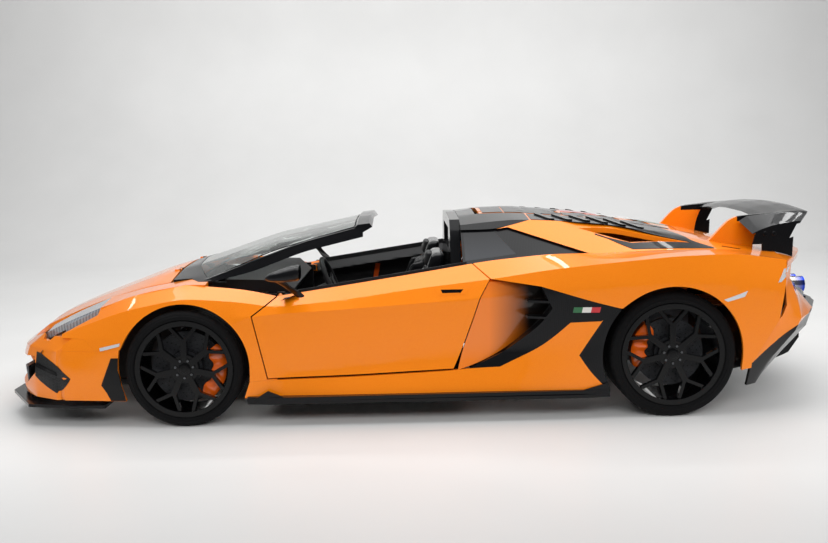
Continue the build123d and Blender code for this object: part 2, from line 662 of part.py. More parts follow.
def door_pin():
    x, z = DOOR_PIVOT
    pin = Pos(x, -775, z) * Rot(DOOR_TILT, 0, 0) * Rot(90, 0, 0) * Cylinder(DOOR_PIN_RADIUS, 84)
    return pin + box(x - 22, x + 22, -764, -730, 560, z + 14)


def door_mirror():
    head = side_plate(((488, 845), (533, 888), (626, 908), (668, 885), (659, 800), (583, 794)), -1130, -950)
    arm = side_plate(((575, 735), (600, 800), (640, 800), (671, 722)), -960, -935)
    foot = loft([face_of([(x, -960, z) for x, z in ((580, 800), (590, 812), (640, 812), (650, 800))]),
                 face_of([(x, -900, z) for x, z in ((580, 670), (590, 700), (665, 700), (675, 670))])], ruled=True)
    return max((head + foot - door()).solids(), key=lambda s: s.volume)


def seat():
    base = side_plate(((800, 150.3), (820, 300), (1180, 240), (1260, 150.3)), -600, -180)
    back = side_plate(((1160, 210), (1390, 900), (1470, 900), (1300, 200)), -590, -190)
    shell = base + back
    for y in (-600, -220):
        shell += side_plate(((800, 160), (790, 340), (1130, 400), (1270, 760), (1420, 760), (1280, 170)), y, y + 40)
    return shell


def dashboard():
    faces = []
    for y in (-610, 0, 610):
        faces.append(face_of([(x, y, z) for x, z in ((186, 680), (186, 776), (480, 764), (560, 690), (470, 560), (400, 560))]))
    dash = loft(faces, ruled=True)
    dash += box(500, 1280, -110, 110, FLOOR + FLOOR_THICK, 400) + box(430, 560, -110, 110, 395, 600)
    return max((dash - tub()).solids(), key=lambda s: s.volume)


def steering_wheel():
    tilt = Pos(790, -380, 700) * Rot(0, 68, 0)
    ring = tilt * Torus(168, 15)
    hub = tilt * Cylinder(48, 30)
    for angle in (0, 110, 250):
        hub += tilt * Rot(0, 0, angle) * (Pos(90, 0, 0) * Box(150, 26, 12))
    column = bar((480, -380, 575), (784, -380, 698), 28)
    return ring + hub + column - dashboard()


# ---------------------------------------------------------------- lamps, exhaust, engine
def headlamp():
    top = side_loft([(x, *points[:2]) for x, *points in NOSE_TOP if -930 <= x <= -500], 40)
    side = side_loft([row for row in SIDE if row[0] <= -330], 40)
    lamp = (top + side) & side_plate(HEADLAMP_LINE, -792, -565)
    return max(lamp.solids(), key=lambda s: s.volume)


def exhaust():
    pipes = []
    for y in (-62, 62):
        pipe = Pos(TAIL - 120, y, 590) * Rot(0, 90, 0) * (Cylinder(52, 240) - Cylinder(46, 242))
        pipes.append(pipe)
    box_part = box(3380, 3560, -300, 300, 440, 636)
    downpipes = [Pos(3222, y, 475) * Rot(0, 90, 0) * Cylinder(36, 403.4) for y in (-120, 120)]
    return [box_part + pipes[0] + pipes[1] + downpipes[0] + downpipes[1]]


def engine():
    block = box(1700, 2520, -290, 290, 180, 860) + box(2520, 3020, -200, 200, 220, 520)
    return block + box(2000, 2120, -296.7, 296.7, 190, 235)


# ---------------------------------------------------------------- running gear, outboard = -Y for the left side
def wheel_parts(name):
    wheel = WHEELS[name]
    x, z, plane = wheel["x"], wheel["radius"], -wheel["track"]
    half, rim, outer = wheel["width"] / 2, wheel["rim"], wheel["radius"]

    def turned(points):
        ring = revolve(face_of([(r, y, 0) for y, r in points]), axis=Axis.Y)
        return Pos(x, plane, z) * ring

    bead = rim - 20
    tyre = turned(((-half + 18, bead), (-half + 16, rim + 1), (-half + 3, rim + 6), (-half, rim + 24),
                   (-half + 10, outer - 12), (-half + 30, outer), (half - 30, outer), (half - 10, outer - 12),
                   (half, rim + 24), (half - 3, rim + 6), (half - 16, rim + 1), (half - 18, bead),
                   (half - 36, bead), (half - 24, rim + 20), (half - 36, outer - 16), (-half + 36, outer - 16),
                   (-half + 24, rim + 20), (-half + 36, bead)))
    seat = bead - 0.3
    lip = half - 8
    barrel = turned(((-lip, rim), (-lip + 7, rim), (-lip + 9, seat), (lip - 9, seat), (lip - 7, rim), (lip, rim),
                     (lip - 2, seat - BARREL_WALL), (-lip + 2, seat - BARREL_WALL)))
    face = -wheel["face"]
    spoke_top = wheel["rim"] - 29
    fork = SPOKE_FORK * rim
    star = Circle(HUB_RADIUS)
    for i in range(SPOKES):
        turn = Rot(0, 0, 90 + i * 360 / SPOKES)
        star += turn * (Pos(fork / 2, 0) * Rectangle(fork, SPOKE_WIDTH))
        for side in (-1, 1):
            end = (spoke_top * cos(radians(FORK_ANGLE)), side * spoke_top * sin(radians(FORK_ANGLE)))
            start = (fork - 12, side * 4)
            run = hypot(end[0] - start[0], end[1] - start[1])
            nx, ny = -(end[1] - start[1]) / run * ARM_WIDTH / 2, (end[0] - start[0]) / run * ARM_WIDTH / 2
            arm = make_face(Polyline((start[0] + nx, start[1] + ny), (end[0] + nx, end[1] + ny),
                                     (end[0] - nx, end[1] - ny), (start[0] - nx, start[1] - ny), close=True))
            star += turn * arm
    stand = Plane(origin=(x, plane + face, z), x_dir=(1, 0, 0), z_dir=(0, -1, 0))
    spokes = extrude(stand * star, amount=-SPOKE_DEPTH)
    disc_face = -wheel["disc"]
    hat_face = disc_face - HAT_DEPTH
    hub = tube_y(x, z, HUB_RADIUS + 16, plane + hat_face - 0.3, plane + face + 4)
    bore = tube_y(x, z, STUB_RADIUS + PIN_CLEARANCE, plane + 20, plane + hat_face - 24)
    rim_body = barrel + spokes + hub - bore
    disc = turned(((disc_face, HAT_RADIUS), (disc_face, wheel["disc_radius"]),
                   (disc_face + DISC_DEPTH, wheel["disc_radius"]), (disc_face + DISC_DEPTH, HAT_RADIUS - 12),
                   (hat_face + 12, HAT_RADIUS - 12), (hat_face + 12, STUB_RADIUS + PIN_CLEARANCE),
                   (hat_face, STUB_RADIUS + PIN_CLEARANCE), (hat_face, HAT_RADIUS)))
    return tyre, rim_body, disc


def caliper(name, start):
    """A block round the disc's edge, on the side at the given angle (degrees from +X, upwards)."""
    wheel = WHEELS[name]
    x, z, plane = wheel["x"], wheel["radius"], -wheel["track"]
    radius = wheel["disc_radius"]
    sweep = 62
    ring = Circle(radius + 26) - Circle(radius - 62)
    wedge = make_face(Polyline((0, 0), *[(400 * cos(radians(start + a)), 400 * sin(radians(start + a)))
                                         for a in (-sweep / 2, 0, sweep / 2)], close=True))
    sector = ring & wedge
    face = -wheel["disc"] - 30
    stand = Plane(origin=(x, plane + face, z), x_dir=(1, 0, 0), z_dir=(0, -1, 0))
    block = extrude(stand * sector, amount=-(DISC_DEPTH + 60))
    gap = tube_y(x, z, radius + 6, plane - wheel["disc"] - 6, plane - wheel["disc"] + DISC_DEPTH + 6)
    return block - gap


def upright(name, caliper_angle):
    """Stub axle, carrier and the caliper's mounting ears."""
    wheel = WHEELS[name]
    x, z, plane = wheel["x"], wheel["radius"], -wheel["track"]
    inner = plane - wheel["disc"] + DISC_DEPTH
    hat_face = plane - wheel["disc"] - HAT_DEPTH
    stub = tube_y(x, z, STUB_RADIUS, inner + 60, hat_face - 22)
    carrier = tube_y(x, z, 66, inner + 14, inner + 62)
    return stub + carrier


def caliper_ear(x, z, inner, way):
    """The carrier's arm that the caliper bolts to, behind (way 1) or ahead (-1) of the hub."""
    y0, y1 = inner + 30 + PANEL_GAP, inner + 46
    return tube_y(x + way * 160, z, 30, y0, y1) + box(x, x + way * 160, y0, y1, z - 24, z + 24)


def front_upright():
    wheel = WHEELS["front"]
    x, z, plane = wheel["x"], wheel["radius"], -wheel["track"]
    body = upright("front", 0)
    pin_y = plane + KINGPIN_OFFSET
    inner = plane - wheel["disc"] + DISC_DEPTH
    body += box(x - 26, x + 26, inner + 16, pin_y + 18, z - 100, z + 100)
    for side in (-1, 1):
        body += Pos(x, pin_y, z + side * (BALL_HEIGHT + 2)) * Cylinder(KINGPIN_RADIUS, 52)
    body += caliper_ear(x, z, inner, 1)
    body += box(x + 10, x + 130, pin_y - 10, pin_y + 10, z - 60, z - 30)
    return body


def wishbone(z, reach):
    """A forked arm from the tub to the ball joint."""
    wheel = WHEELS["front"]
    y = -wheel["track"] + KINGPIN_OFFSET
    eye = Pos(0, y, z) * (Cylinder(28, 24) - Cylinder(KINGPIN_RADIUS + PIN_CLEARANCE, 30))
    arms = eye
    for x in (-reach, reach):
        arms += bar((x * 0.08, y + 24, z), (x, -404, z), 13)
        arms += tube_y(x, z, 17, -416, -400.3)
    return arms


def suspension():
    z = WHEELS["front"]["radius"]
    parts = []
    for height in (z - BALL_HEIGHT, z + BALL_HEIGHT):
        parts += both_sides(wishbone(height, 130))
    return parts


def rear_upright():
    wheel = WHEELS["rear"]
    x, z, plane = wheel["x"], wheel["radius"], -wheel["track"]
    body = upright("rear", 0)
    inner = plane - wheel["disc"] + DISC_DEPTH
    body += box(x - 40, x + 40, inner + 20, inner + 62, z - 130, z + 130)
    for dz in (-115, 115):
        for dx in (-160, 160):
            body += bar((x, inner + 50, z + dz), (x + dx, -345.3 - 6, z + dz * 0.8), 14)
    body += bar((x, inner + 40, z), (x, -345.3, z), 20)
    body += caliper_ear(x, z, inner, -1)
    return body


def rear_frame():
    x = WHEELBASE
    return box(1560.3, 3079.7, -345, -297, 180, 240) + box(x - 240, x + 240, -345, -297, 200, 560)


def lid_hinges():
    """Gooseneck arms with their pins, for the bonnet on the tub and for the engine cover on the bulkhead."""
    x, z = HOOD_HINGE
    hood_arm = ((x - 10, z - 10), (x - 10, z + 8), (x + 10, z + 8), (x + 17, z - 22), (-40.3, 750), (-40.3, 722),
                (x + 7, z - 53))
    u, v = COVER_HINGE
    cover_arm = ((1560.3, 1032), (1560.3, 1058), (u - 24, 1058), (u - 9, v + 4), (u + 9, v + 4), (u + 9, v - 10),
                 (u - 6, 1036))
    parts = []
    for (a, b), where, arm in ((HOOD_HINGE, HOOD_HINGE_Y, hood_arm), (COVER_HINGE, COVER_HINGE_Y, cover_arm)):
        left = side_plate(arm, -where + 20, -where + 40) + tube_y(a, b, LID_PIN_RADIUS, -where - 15, -where + 40)
        parts += both_sides(left)
    return parts


# ---------------------------------------------------------------- the assembly
def assemble():
    node("front_frame", front_frame())
    node("front_bumper", front_bumper())
    node("front_vanes", both_sides(vane()))
    node("front_splitter", splitter())
    node("front_fenders", both_sides(front_fender()))
    node("bonnet", bonnet())
    node("rockers", both_sides(rocker()))
    node("rear_quarters", both_sides(rear_quarter()))
    node("side_intakes", both_sides(side_intake()))
    trim, guard = intake_trim()
    node("intake_trims", both_sides(trim), both_sides(guard))
    node("side_skirts", both_sides(skirt()))
    node("rear_deck", rear_deck())
    node("roof_surround", roof_surround())
    node("engine_cover", engine_cover())
    node("rear_bumper", rear_bumper())
    node("tail_panel", tail_panel())
    node("tail_lamps", both_sides(tail_lamp()))
    node("rear_diffuser", diffuser())
    node("rear_wing", rear_wing())
    node("windscreen_frame", windscreen_frame())
    node("windscreen", windscreen())
    node("rear_bulkhead", rear_bulkhead())
    node("cabin_glass", cabin_glass())
    node("monocoque_tub", tub() + door_pin() + other_side(door_pin()))
    left = door()
    node("door_left", left)
    node("door_right", other_side(left))
    glass = door_mirror()
    node("mirror_left", glass)
    node("mirror_right", other_side(glass))
    node("seats", both_sides(seat()))
    node("dashboard", dashboard())
    node("steering_wheel", steering_wheel())
    node("headlamps", both_sides(headlamp()))
    node("exhaust", exhaust())
    node("engine", engine())
    node("suspension", suspension())
    node("rear_uprights", both_sides(rear_upright()))
    node("rear_frame", both_sides(rear_frame()))
    node("lid_hinges", lid_hinges())
    knuckle = front_upright()
    node("upright_front_left", knuckle)
    node("upright_front_right", other_side(knuckle))
    block = caliper("front", 0)
    node("caliper_front_left", block)
    node("caliper_front_right", other_side(block))
    node("rear_calipers", both_sides(caliper("rear", 180)))
    for name in WHEELS:
        for part, shape in zip(("tyre", "rim", "disc"), wheel_parts(name)):
            node(f"{part}_{name}_left", shape)
            node(f"{part}_{name}_right", other_side(shape))


def write():
    os.makedirs("parts", exist_ok=True)
    move = Pos(-(NOSE + TAIL) / 2, 0, 0)
    for name, solids in NODES.items():
        placed = [move * solid for solid in solids]
        shape = placed[0] if len(placed) == 1 else Compound(placed)
        export_step(shape, f"parts/{name}.step")
        box_ = shape.bounding_box()
        print(f"{name:22} {len(solids)} solids  x {box_.min.X:7.0f} {box_.max.X:7.0f}  y {box_.min.Y:6.0f} "
              f"{box_.max.Y:6.0f}  z {box_.min.Z:5.0f} {box_.max.Z:5.0f}")


assemble()
write()
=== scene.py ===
"""An open two-seat mid-engined supercar: its packed panels taken to finished sheets, and the tyres, trim,
lamps, upholstery and small parts that go on them. Metres, nose to -X, driver's side at -Y, ground at 0."""

import math

import bmesh
import bpy
import numpy as np
from mathutils import Matrix


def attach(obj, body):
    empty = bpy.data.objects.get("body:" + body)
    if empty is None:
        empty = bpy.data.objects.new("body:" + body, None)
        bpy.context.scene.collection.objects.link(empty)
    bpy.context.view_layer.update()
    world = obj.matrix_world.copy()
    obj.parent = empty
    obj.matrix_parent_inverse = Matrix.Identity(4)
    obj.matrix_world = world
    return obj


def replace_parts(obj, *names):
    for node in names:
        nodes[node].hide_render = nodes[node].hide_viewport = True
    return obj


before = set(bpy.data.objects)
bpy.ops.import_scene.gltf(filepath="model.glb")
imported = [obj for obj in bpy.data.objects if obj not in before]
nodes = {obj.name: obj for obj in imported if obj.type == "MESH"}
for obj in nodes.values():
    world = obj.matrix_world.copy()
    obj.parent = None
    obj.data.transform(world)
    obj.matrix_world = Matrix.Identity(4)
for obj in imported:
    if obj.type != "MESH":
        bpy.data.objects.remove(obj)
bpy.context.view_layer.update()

# ---- Camera ------------------------------------------------------------------------------------------
# A full-frame camera with a 41 mm lens stands 6 m off the driver's side at head height, tipped down and a
# little to one side, as a hand-held one is.
SENSOR_WIDTH = 36
FOCAL_SHARE = 943 / 828  # of the sensor's width
STAND = (-0.06504, -6.08702, 1.47358)
yaw, pitch, roll = (math.radians(a) for a in (-0.2936, -7.046, -1.2932))
ahead = np.array([-math.sin(yaw) * math.cos(pitch), math.cos(yaw) * math.cos(pitch), math.sin(pitch)])
level = np.array([math.cos(yaw), math.sin(yaw), 0.0])
raised = np.cross(level, ahead)
across = level * math.cos(roll) + raised * math.sin(roll)
upward = raised * math.cos(roll) - level * math.sin(roll)
lens = bpy.data.cameras.new("camera")
lens.sensor_width, lens.lens = SENSOR_WIDTH, SENSOR_WIDTH * FOCAL_SHARE
camera = bpy.data.objects.new("camera", lens)
camera.matrix_world = Matrix([[across[i], upward[i], -ahead[i], STAND[i]] for i in range(3)] + [[0, 0, 0, 1]])
bpy.context.scene.collection.objects.link(camera)
bpy.context.scene.camera = camera

# ---- Painted panels ----------------------------------------------------------------------------------
# Pressed aluminium and moulded composite panels, sprayed pearl orange under a thick polished clear coat.
# Their shallow folds are drawn into curved sheets; only the character lines and shut lines stay crisp.
PAINTED = {"front_bumper": "chassis", "front_fenders": "chassis", "bonnet": "bonnet", "rockers": "chassis",
           "rear_quarters": "chassis", "rear_deck": "chassis", "rear_bumper": "chassis",
           "engine_cover": "engine_cover", "door_left": "door_left", "door_right": "door_right"}


def linear(text):
    """An sRGB hex value as linear red, green, blue and alpha."""
    value = np.array([int(text[i:i + 2], 16) for i in (1, 3, 5)]) / 255
    return (*np.where(value <= 0.04045, value / 12.92, ((value + 0.055) / 1.055) ** 2.4), 1.0)


def finish_of(name, colour, **sockets):
    """A new material in one colour, with its shader's sockets set."""
    material = bpy.data.materials.new(name)
    material.use_nodes = True
    shader = material.node_tree.nodes["Principled BSDF"]
    shader.inputs["Base Color"].default_value = linear(colour)
    for socket, value in sockets.items():
        shader.inputs[socket.replace("_", " ")].default_value = value
    return material


def add(material, kind, links=(), **settings):
    """Adds a node. Links are (socket, node, output) into it; settings are its own or its sockets' values."""
    node = material.node_tree.nodes.new(kind)
    for name, value in settings.items():
        if hasattr(node, name):
            setattr(node, name, value)
        else:
            node.inputs[name.replace("_", " ")].default_value = value
    for socket, source, out in links:
        material.node_tree.links.new(source.outputs[out], node.inputs[socket])
    return node


def feed(material, source, out, socket):
    """Links a node's output to a socket of the material's shader."""
    shader = material.node_tree.nodes["Principled BSDF"]
    material.node_tree.links.new(source.outputs[out], shader.inputs[socket])


def blend(material, share, out, low, high):
    """A mix of two hex colours by another node's output."""
    mix = add(material, "ShaderNodeMix", [("Factor", share, out)], data_type="RGBA")
    for socket, colour in ((6, low), (7, high)):
        mix.inputs[socket].default_value = linear(colour)
    return mix


def patterned(material, kind, out="Fac", tones=(), relief=(), turn=None, **settings):
    """A pattern read on the piece's own coordinates, turned by three angles where they are given. It blends
    two tones, or makes a relief of a strength and a depth, or both."""
    source, end = add(material, "ShaderNodeTexCoord"), "Object"
    if turn:
        source, end = add(material, "ShaderNodeMapping", [("Vector", source, end)], Rotation=turn), "Vector"
    pattern = add(material, kind, [("Vector", source, end)], **settings)
    if tones:
        feed(material, blend(material, pattern, out, *tones), 2, "Base Color")
    if relief:
        strength, depth = relief
        bump = add(material, "ShaderNodeBump", [("Height", pattern, out)], Strength=strength, Distance=depth)
        feed(material, bump, "Normal", "Normal")
    return pattern


enamel = finish_of("clear-coated enamel", "#EE7F0E", Metallic=0.15, Roughness=0.38, Coat_Weight=1.0,
                   Coat_Roughness=0.015, Coat_IOR=1.36, Specular_IOR_Level=0.2)
# mica flakes are about 0.1 mm; they are drawn at 3 mm so that they show, as a slight change of tone
patterned(enamel, "ShaderNodeTexVoronoi", "Distance", ("#F98E10", "#F27A04"), Scale=333.0)
# orange peel of a sprayed coat, waves of about 5 mm and a few micrometres deep
patterned(enamel, "ShaderNodeTexNoise", relief=(0.02, 0.001), Scale=200.0, Detail=1.0)


def place_mesh(name, points, faces, material, body, fold=None, smooth=True):
    """A piece from points and faces, with its finish and the body it rides on.
    Edges that bend by more than fold degrees stay crisp."""
    mesh = bpy.data.meshes.new(name)
    mesh.from_pydata(np.reshape(points, (-1, 3)).tolist(), [], faces)
    mesh.polygons.foreach_set("use_smooth", np.full(len(mesh.polygons), smooth))
    mesh.materials.append(material)
    if fold:
        mesh.set_sharp_from_angle(angle=math.radians(fold))
    piece = bpy.data.objects.new(name, mesh)
    bpy.context.scene.collection.objects.link(piece)
    if body:
        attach(piece, body)
    return piece


def halved(points, faces, longest):
    """Halves every edge over a length, the longest first, and cuts the triangles beside it to match."""
    while True:
        sides = np.sort(np.stack([faces, np.roll(faces, -1, 1)], -1), -1)
        _, first, back = np.unique(sides[..., 0] * len(points) + sides[..., 1], return_index=True,
                                   return_inverse=True)
        ends = sides.reshape(-1, 2)[first]
        size = np.linalg.norm(points[ends[:, 0]] - points[ends[:, 1]], axis=1)
        cut = size > max(longest, 0.6 * size.max())
        if not cut.any():
            return points, faces, ends, back.reshape(-1, 3)
        middle = np.where(cut, len(points) + np.cumsum(cut) - 1, -1)
        points = np.vstack([points, points[ends[cut]].mean(1)])
        mid = middle[back.reshape(-1, 3)]
        marks = mid >= 0
        count = marks.sum(1)
        turn = np.where(count == 1, marks.argmax(1), np.where(count == 2, (~marks).argmax(1) + 1, 0)) % 3
        order = (turn[:, None] + np.arange(3)) % 3
        (a, b, c), (ab, bc, ca) = np.take_along_axis(faces, order, 1).T, np.take_along_axis(mid, order, 1).T
        one, two, three = count == 1, count == 2, count == 3
        faces = np.vstack([faces[count == 0],
                           *[np.stack(t, 1)[one] for t in ((a, ab, c), (ab, b, c))],
                           *[np.stack(t, 1)[two] for t in ((ab, b, bc), (a, ab, bc), (a, bc, c))],
                           *[np.stack(t, 1)[three] for t in ((a, ab, ca), (ab, b, bc), (ca, bc, c),
                                                             (ab, bc, ca))]])


def eased(points, faces, longest=0.02, fold=20, rounds=60, keep=0.35):
    """A packed shell made a fine sheet. Points on folds sharper than an angle glide only along the fold, and
    every other point moves half way to the mean of its neighbours, again and again: shallow folds round."""
    points, faces, ends, back = halved(points, faces, longest)
    normal = np.cross(points[faces[:, 1]] - points[faces[:, 0]], points[faces[:, 2]] - points[faces[:, 0]])
    normal /= np.linalg.norm(normal, axis=1)[:, None] + 1e-12
    order = np.argsort(back, axis=None, kind="stable")
    count = np.bincount(back.ravel(), minlength=len(ends))
    start = np.cumsum(count) - count
    owner = order // 3
    pair = normal[owner[start]], normal[owner[start + np.minimum(count, 2) - 1]]
    crease = (count != 2) | ((pair[0] * pair[1]).sum(1) < math.cos(math.radians(fold)))

    def means(edges):
        """The mean of each point's neighbours along the edges."""
        degree = np.bincount(edges.ravel(), minlength=len(points))
        total = [np.bincount(edges[:, 0], points[edges[:, 1], k], len(points))
                 + np.bincount(edges[:, 1], points[edges[:, 0], k], len(points)) for k in range(3)]
        return np.stack(total, 1) / np.maximum(degree, 1)[:, None]

    lines = ends[crease]
    way = points[lines[:, 1]] - points[lines[:, 0]]
    way /= np.linalg.norm(way, axis=1)[:, None] + 1e-12
    bend = np.stack([np.bincount(lines[:, 0], way[:, k], len(points))
                     - np.bincount(lines[:, 1], way[:, k], len(points)) for k in range(3)], 1)
    on_fold = np.bincount(lines.ravel(), minlength=len(points))
    glide = (on_fold == 2) & (np.linalg.norm(bend, axis=1) < keep)
    free = on_fold == 0
    for _ in range(rounds):
        near, along = means(ends), means(lines)
        moved = np.where(free[:, None], near, np.where(glide[:, None], along, points))
        points = (points + moved) / 2
    return points, faces


def packed(name):
    """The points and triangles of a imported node, with its doubled corners merged."""
    mesh = nodes[name].data
    mesh.calc_loop_triangles()
    points = np.empty(len(mesh.vertices) * 3)
    mesh.vertices.foreach_get("co", points)
    faces = np.empty(len(mesh.loop_triangles) * 3, int)
    mesh.loop_triangles.foreach_get("vertices", faces)
    points = points.reshape(-1, 3)
    _, first, back = np.unique(np.round(points / 2e-5), axis=0, return_index=True, return_inverse=True)
    faces = back.ravel()[faces].reshape(-1, 3)
    whole = (faces != np.roll(faces, 1, 1)).all(1)
    return points[first], faces[whole]


def drawn(name, material, body, slot, fold=20, **how):
    """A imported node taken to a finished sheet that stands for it; the edges between its folds stay crisp."""
    points, faces = eased(*packed(name), fold=fold, **how)
    piece = place_mesh(name + "_skin", points, faces.tolist(), material, body, fold + 6)
    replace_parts(piece, name)
    skins[name] = points[faces]
    return piece


skins = {}
for name, body in PAINTED.items():
    drawn(name, enamel, body, "paint")

# ---- Side intakes ------------------------------------------------------------------------------------
# The scoops behind the doors are painted with the body and sink away towards the radiators. Their colour is
# graded from orange to near black along x: painted shade for the scoop's depth.
SCOOP_SHADE_START, SCOOP_SHADE_END = 0.37, 0.60
shade_graded = finish_of("dusted clear-coated enamel", "#EE7F0E", Roughness=0.4, Coat_Weight=0.8,
                   Coat_Roughness=0.03)


def graded(material, axis, start, end, tones):
    """Blends two tones by how far a place lies from start to end along an axis."""
    place = add(material, "ShaderNodeTexCoord")
    axes = add(material, "ShaderNodeSeparateXYZ", [("Vector", place, "Object")])
    share = add(material, "ShaderNodeMapRange", [("Value", axes, axis)], From_Min=start, From_Max=end)
    feed(material, blend(material, share, "Result", *tones), 2, "Base Color")


# painted shade: orange at the scoop's mouth, near black towards its back
graded(shade_graded, "X", SCOOP_SHADE_START, SCOOP_SHADE_END, ("#E8780C", "#0F0703"))
drawn("side_intakes", shade_graded, "chassis", "paint")

# ---- Dark composite pieces ---------------------------------------------------------------------------
# Splitter, intake frames, skirts, diffuser, roof piece and pillars: carbon fibre laid up in moulds under
# clear lacquer. The 2 x 2 twill shows only close to, near black on black.
carbon = finish_of("lacquered carbon composite", "#08080A", Roughness=0.35, Specular_IOR_Level=0.1,
                   Coat_Weight=0.7, Coat_Roughness=0.04, Coat_IOR=1.3)
# tows of 2 mm, drawn at 4 mm
patterned(carbon, "ShaderNodeTexChecker", tones=("#060607", "#101114"), turn=(0.4, 0.6, 0.785), Scale=250.0)
CARBON_FOLD = 24
for name in ("front_splitter", "intake_trims", "side_skirts", "rear_diffuser", "roof_surround",
             "windscreen_frame", "tail_panel", "rear_bulkhead"):
    drawn(name, carbon, "chassis", "carbon", fold=CARBON_FOLD, rounds=24)

# ---- Aerofoil ----------------------------------------------------------------------------------------
# A carbon blade with end plates on two pylons, which are painted with the body up to where the blade begins.
# Each end plate is held by two screws under turned bosses.
PYLON_Y, PYLON_HALF = 0.57, 0.0155
BLADE_Z, BLADE_X = 1.046, 1.86  # the blade is above the one and behind the other
BOSS_PROFILE = ((-6, 13), (2, 13), (4, 11), (4, 6), (1, 6), (1, 0.01))
BOSS_X, PLATE_Y, BOSS_Z = (3285, 3336), 752, 984
wing = drawn("rear_wing", carbon, "chassis", "carbon", fold=CARBON_FOLD, rounds=4).data
wing.materials.append(enamel)
cut = bmesh.new()
cut.from_mesh(wing)
for at, facing in (((0, 0, BLADE_Z), (0, 0, 1)), ((BLADE_X, 0, 0), (1, 0, 0))):
    bmesh.ops.bisect_plane(cut, geom=cut.verts[:] + cut.edges[:] + cut.faces[:], plane_co=at, plane_no=facing)
cut.to_mesh(wing)
cut.free()
middle = np.empty(len(wing.polygons) * 3)
wing.polygons.foreach_get("center", middle)
x, y, z = middle.reshape(-1, 3).T
painted = (np.abs(np.abs(y) - PYLON_Y) < PYLON_HALF) & ((z < BLADE_Z) | (x < BLADE_X))
wing.polygons.foreach_set("material_index", painted.astype(np.int32))
SIDES = (("left", -1), ("right", 1))


def metres(rows):
    """Drawing sizes in millimetres, with x from the front axle, as metres from the middle of the car."""
    rows = np.array(rows, float) / 1000
    rows[..., 0] -= 1.3215
    return rows


def grid_quads(rows, columns, closed=False, ring=False):
    """The quads of a grid of points numbered row by row. Closed joins the last column to the first, and ring
    joins the last row to the first."""
    index = np.arange(rows * columns).reshape(rows, columns)
    if closed:
        index = np.hstack([index, index[:, :1]])
    if ring:
        index = np.vstack([index, index[:1]])
    return np.stack([index[:-1, :-1], index[:-1, 1:], index[1:, 1:], index[1:, :-1]], -1).reshape(-1, 4)


def turned(name, profile, way, centre, material, body, count):
    """A profile of (distance out along y, radius) in millimetres carried round a full circle about y."""
    out, radius = np.array(profile, float).T[..., None] / 1000
    angle = np.linspace(0, 2 * np.pi, count, endpoint=False)
    rings = np.broadcast_arrays(radius * np.cos(angle), way * out, radius * np.sin(angle))
    points = (np.stack(rings, -1) + metres(centre)).reshape(-1, 3)
    quads = grid_quads(len(out), count, closed=True)
    first = np.arange(count)
    last = first + len(points) - count
    a, b, c = (points[quads[:, k]] for k in range(3))
    if (np.cross(b - a, c - a) * (a - points.mean(0))).sum() < 0:
        quads, last = quads[:, ::-1], last[::-1]
    else:
        first = first[::-1]
    place_mesh(name, points, quads.tolist() + [first.tolist(), last.tolist()], material, body, fold=35)


for side, way in SIDES:
    for i, x in enumerate(BOSS_X):
        turned(f"wing_boss_{side}_{i}", BOSS_PROFILE, way, (x, way * PLATE_Y, BOSS_Z), carbon, "chassis",
               32)

# ---- Front corners -----------------------------------------------------------------------------------
# The bumper wraps round to the wheel arches in one painted skin. A black blade stands before each wheel and
# a dark-meshed intake takes up the corner, with a gloss vane across it. They are moulded pieces a few
# millimetres thick, bonded or clipped on to the panel that they lie on.
CORNER_ROOM = 1e-3  # a triangle's shadow holds points this share of its size outside its edges
BLOCK = 100  # points tested at a time


def laid(on, flat, axis, way, side):
    """Points moved along an axis on to finished skins. A point lands on the outermost triangle whose shadow
    along that axis holds it, by the barycentric test; one that misses takes the height of the nearest one."""
    shape = np.vstack([skins[name] for name in on])
    if axis == 1:
        shape = shape[shape[:, :, 1].mean(1) * side > 0]
    shadow = shape[:, :, [k for k in range(3) if k != axis]]
    over = (shadow.max(1) >= flat.min(0)).all(1) & (shadow.min(1) <= flat.max(0)).all(1)
    shape, shadow = shape[over], shadow[over]
    a, b, c = shadow[:, 0], shadow[:, 1] - shadow[:, 0], shadow[:, 2] - shadow[:, 0]
    area = b[:, 0] * c[:, 1] - b[:, 1] * c[:, 0]
    upright = np.abs(area) < 1e-9
    area = np.where(upright, 1, area)
    start, high, far = shape[:, :, axis].T
    rise, run = high - start, far - start
    reach = []
    for some in np.array_split(flat, len(flat) // BLOCK + 1):
        gap = some[:, None] - a
        u = (gap[..., 0] * c[:, 1] - gap[..., 1] * c[:, 0]) / area
        v = (b[:, 0] * gap[..., 1] - b[:, 1] * gap[..., 0]) / area
        held = (u > -CORNER_ROOM) & (v > -CORNER_ROOM) & (u + v < 1 + CORNER_ROOM) & ~upright
        reach.append(np.where(held, (start + u * rise + v * run) * way, -np.inf).max(1))
    reach = np.concatenate(reach)
    found = np.isfinite(reach)
    near = np.linalg.norm(flat[:, None] - flat[found], axis=2).argmin(1)
    return np.where(found, reach, reach[found][near]) * way


def bridged(reach, cells, soften):
    """Heights on a grid with slots up to 2 * cells wide bridged: the greatest, then the least, of each 3 x 3
    block, edges carried on straight; the result is averaged over such blocks a number of times."""
    for pick, times in ((np.max, cells), (np.min, cells), (np.mean, soften)):
        reach = np.pad(reach, times, mode="reflect", reflect_type="odd")
        for _ in range(times):
            reach = pick(np.lib.stride_tricks.sliding_window_view(reach, (3, 3)), axis=(2, 3))
    return reach


def triangles(quads):
    """Each quad as two triangles."""
    return np.vstack([quads[:, [0, 1, 2]], quads[:, [0, 2, 3]]])


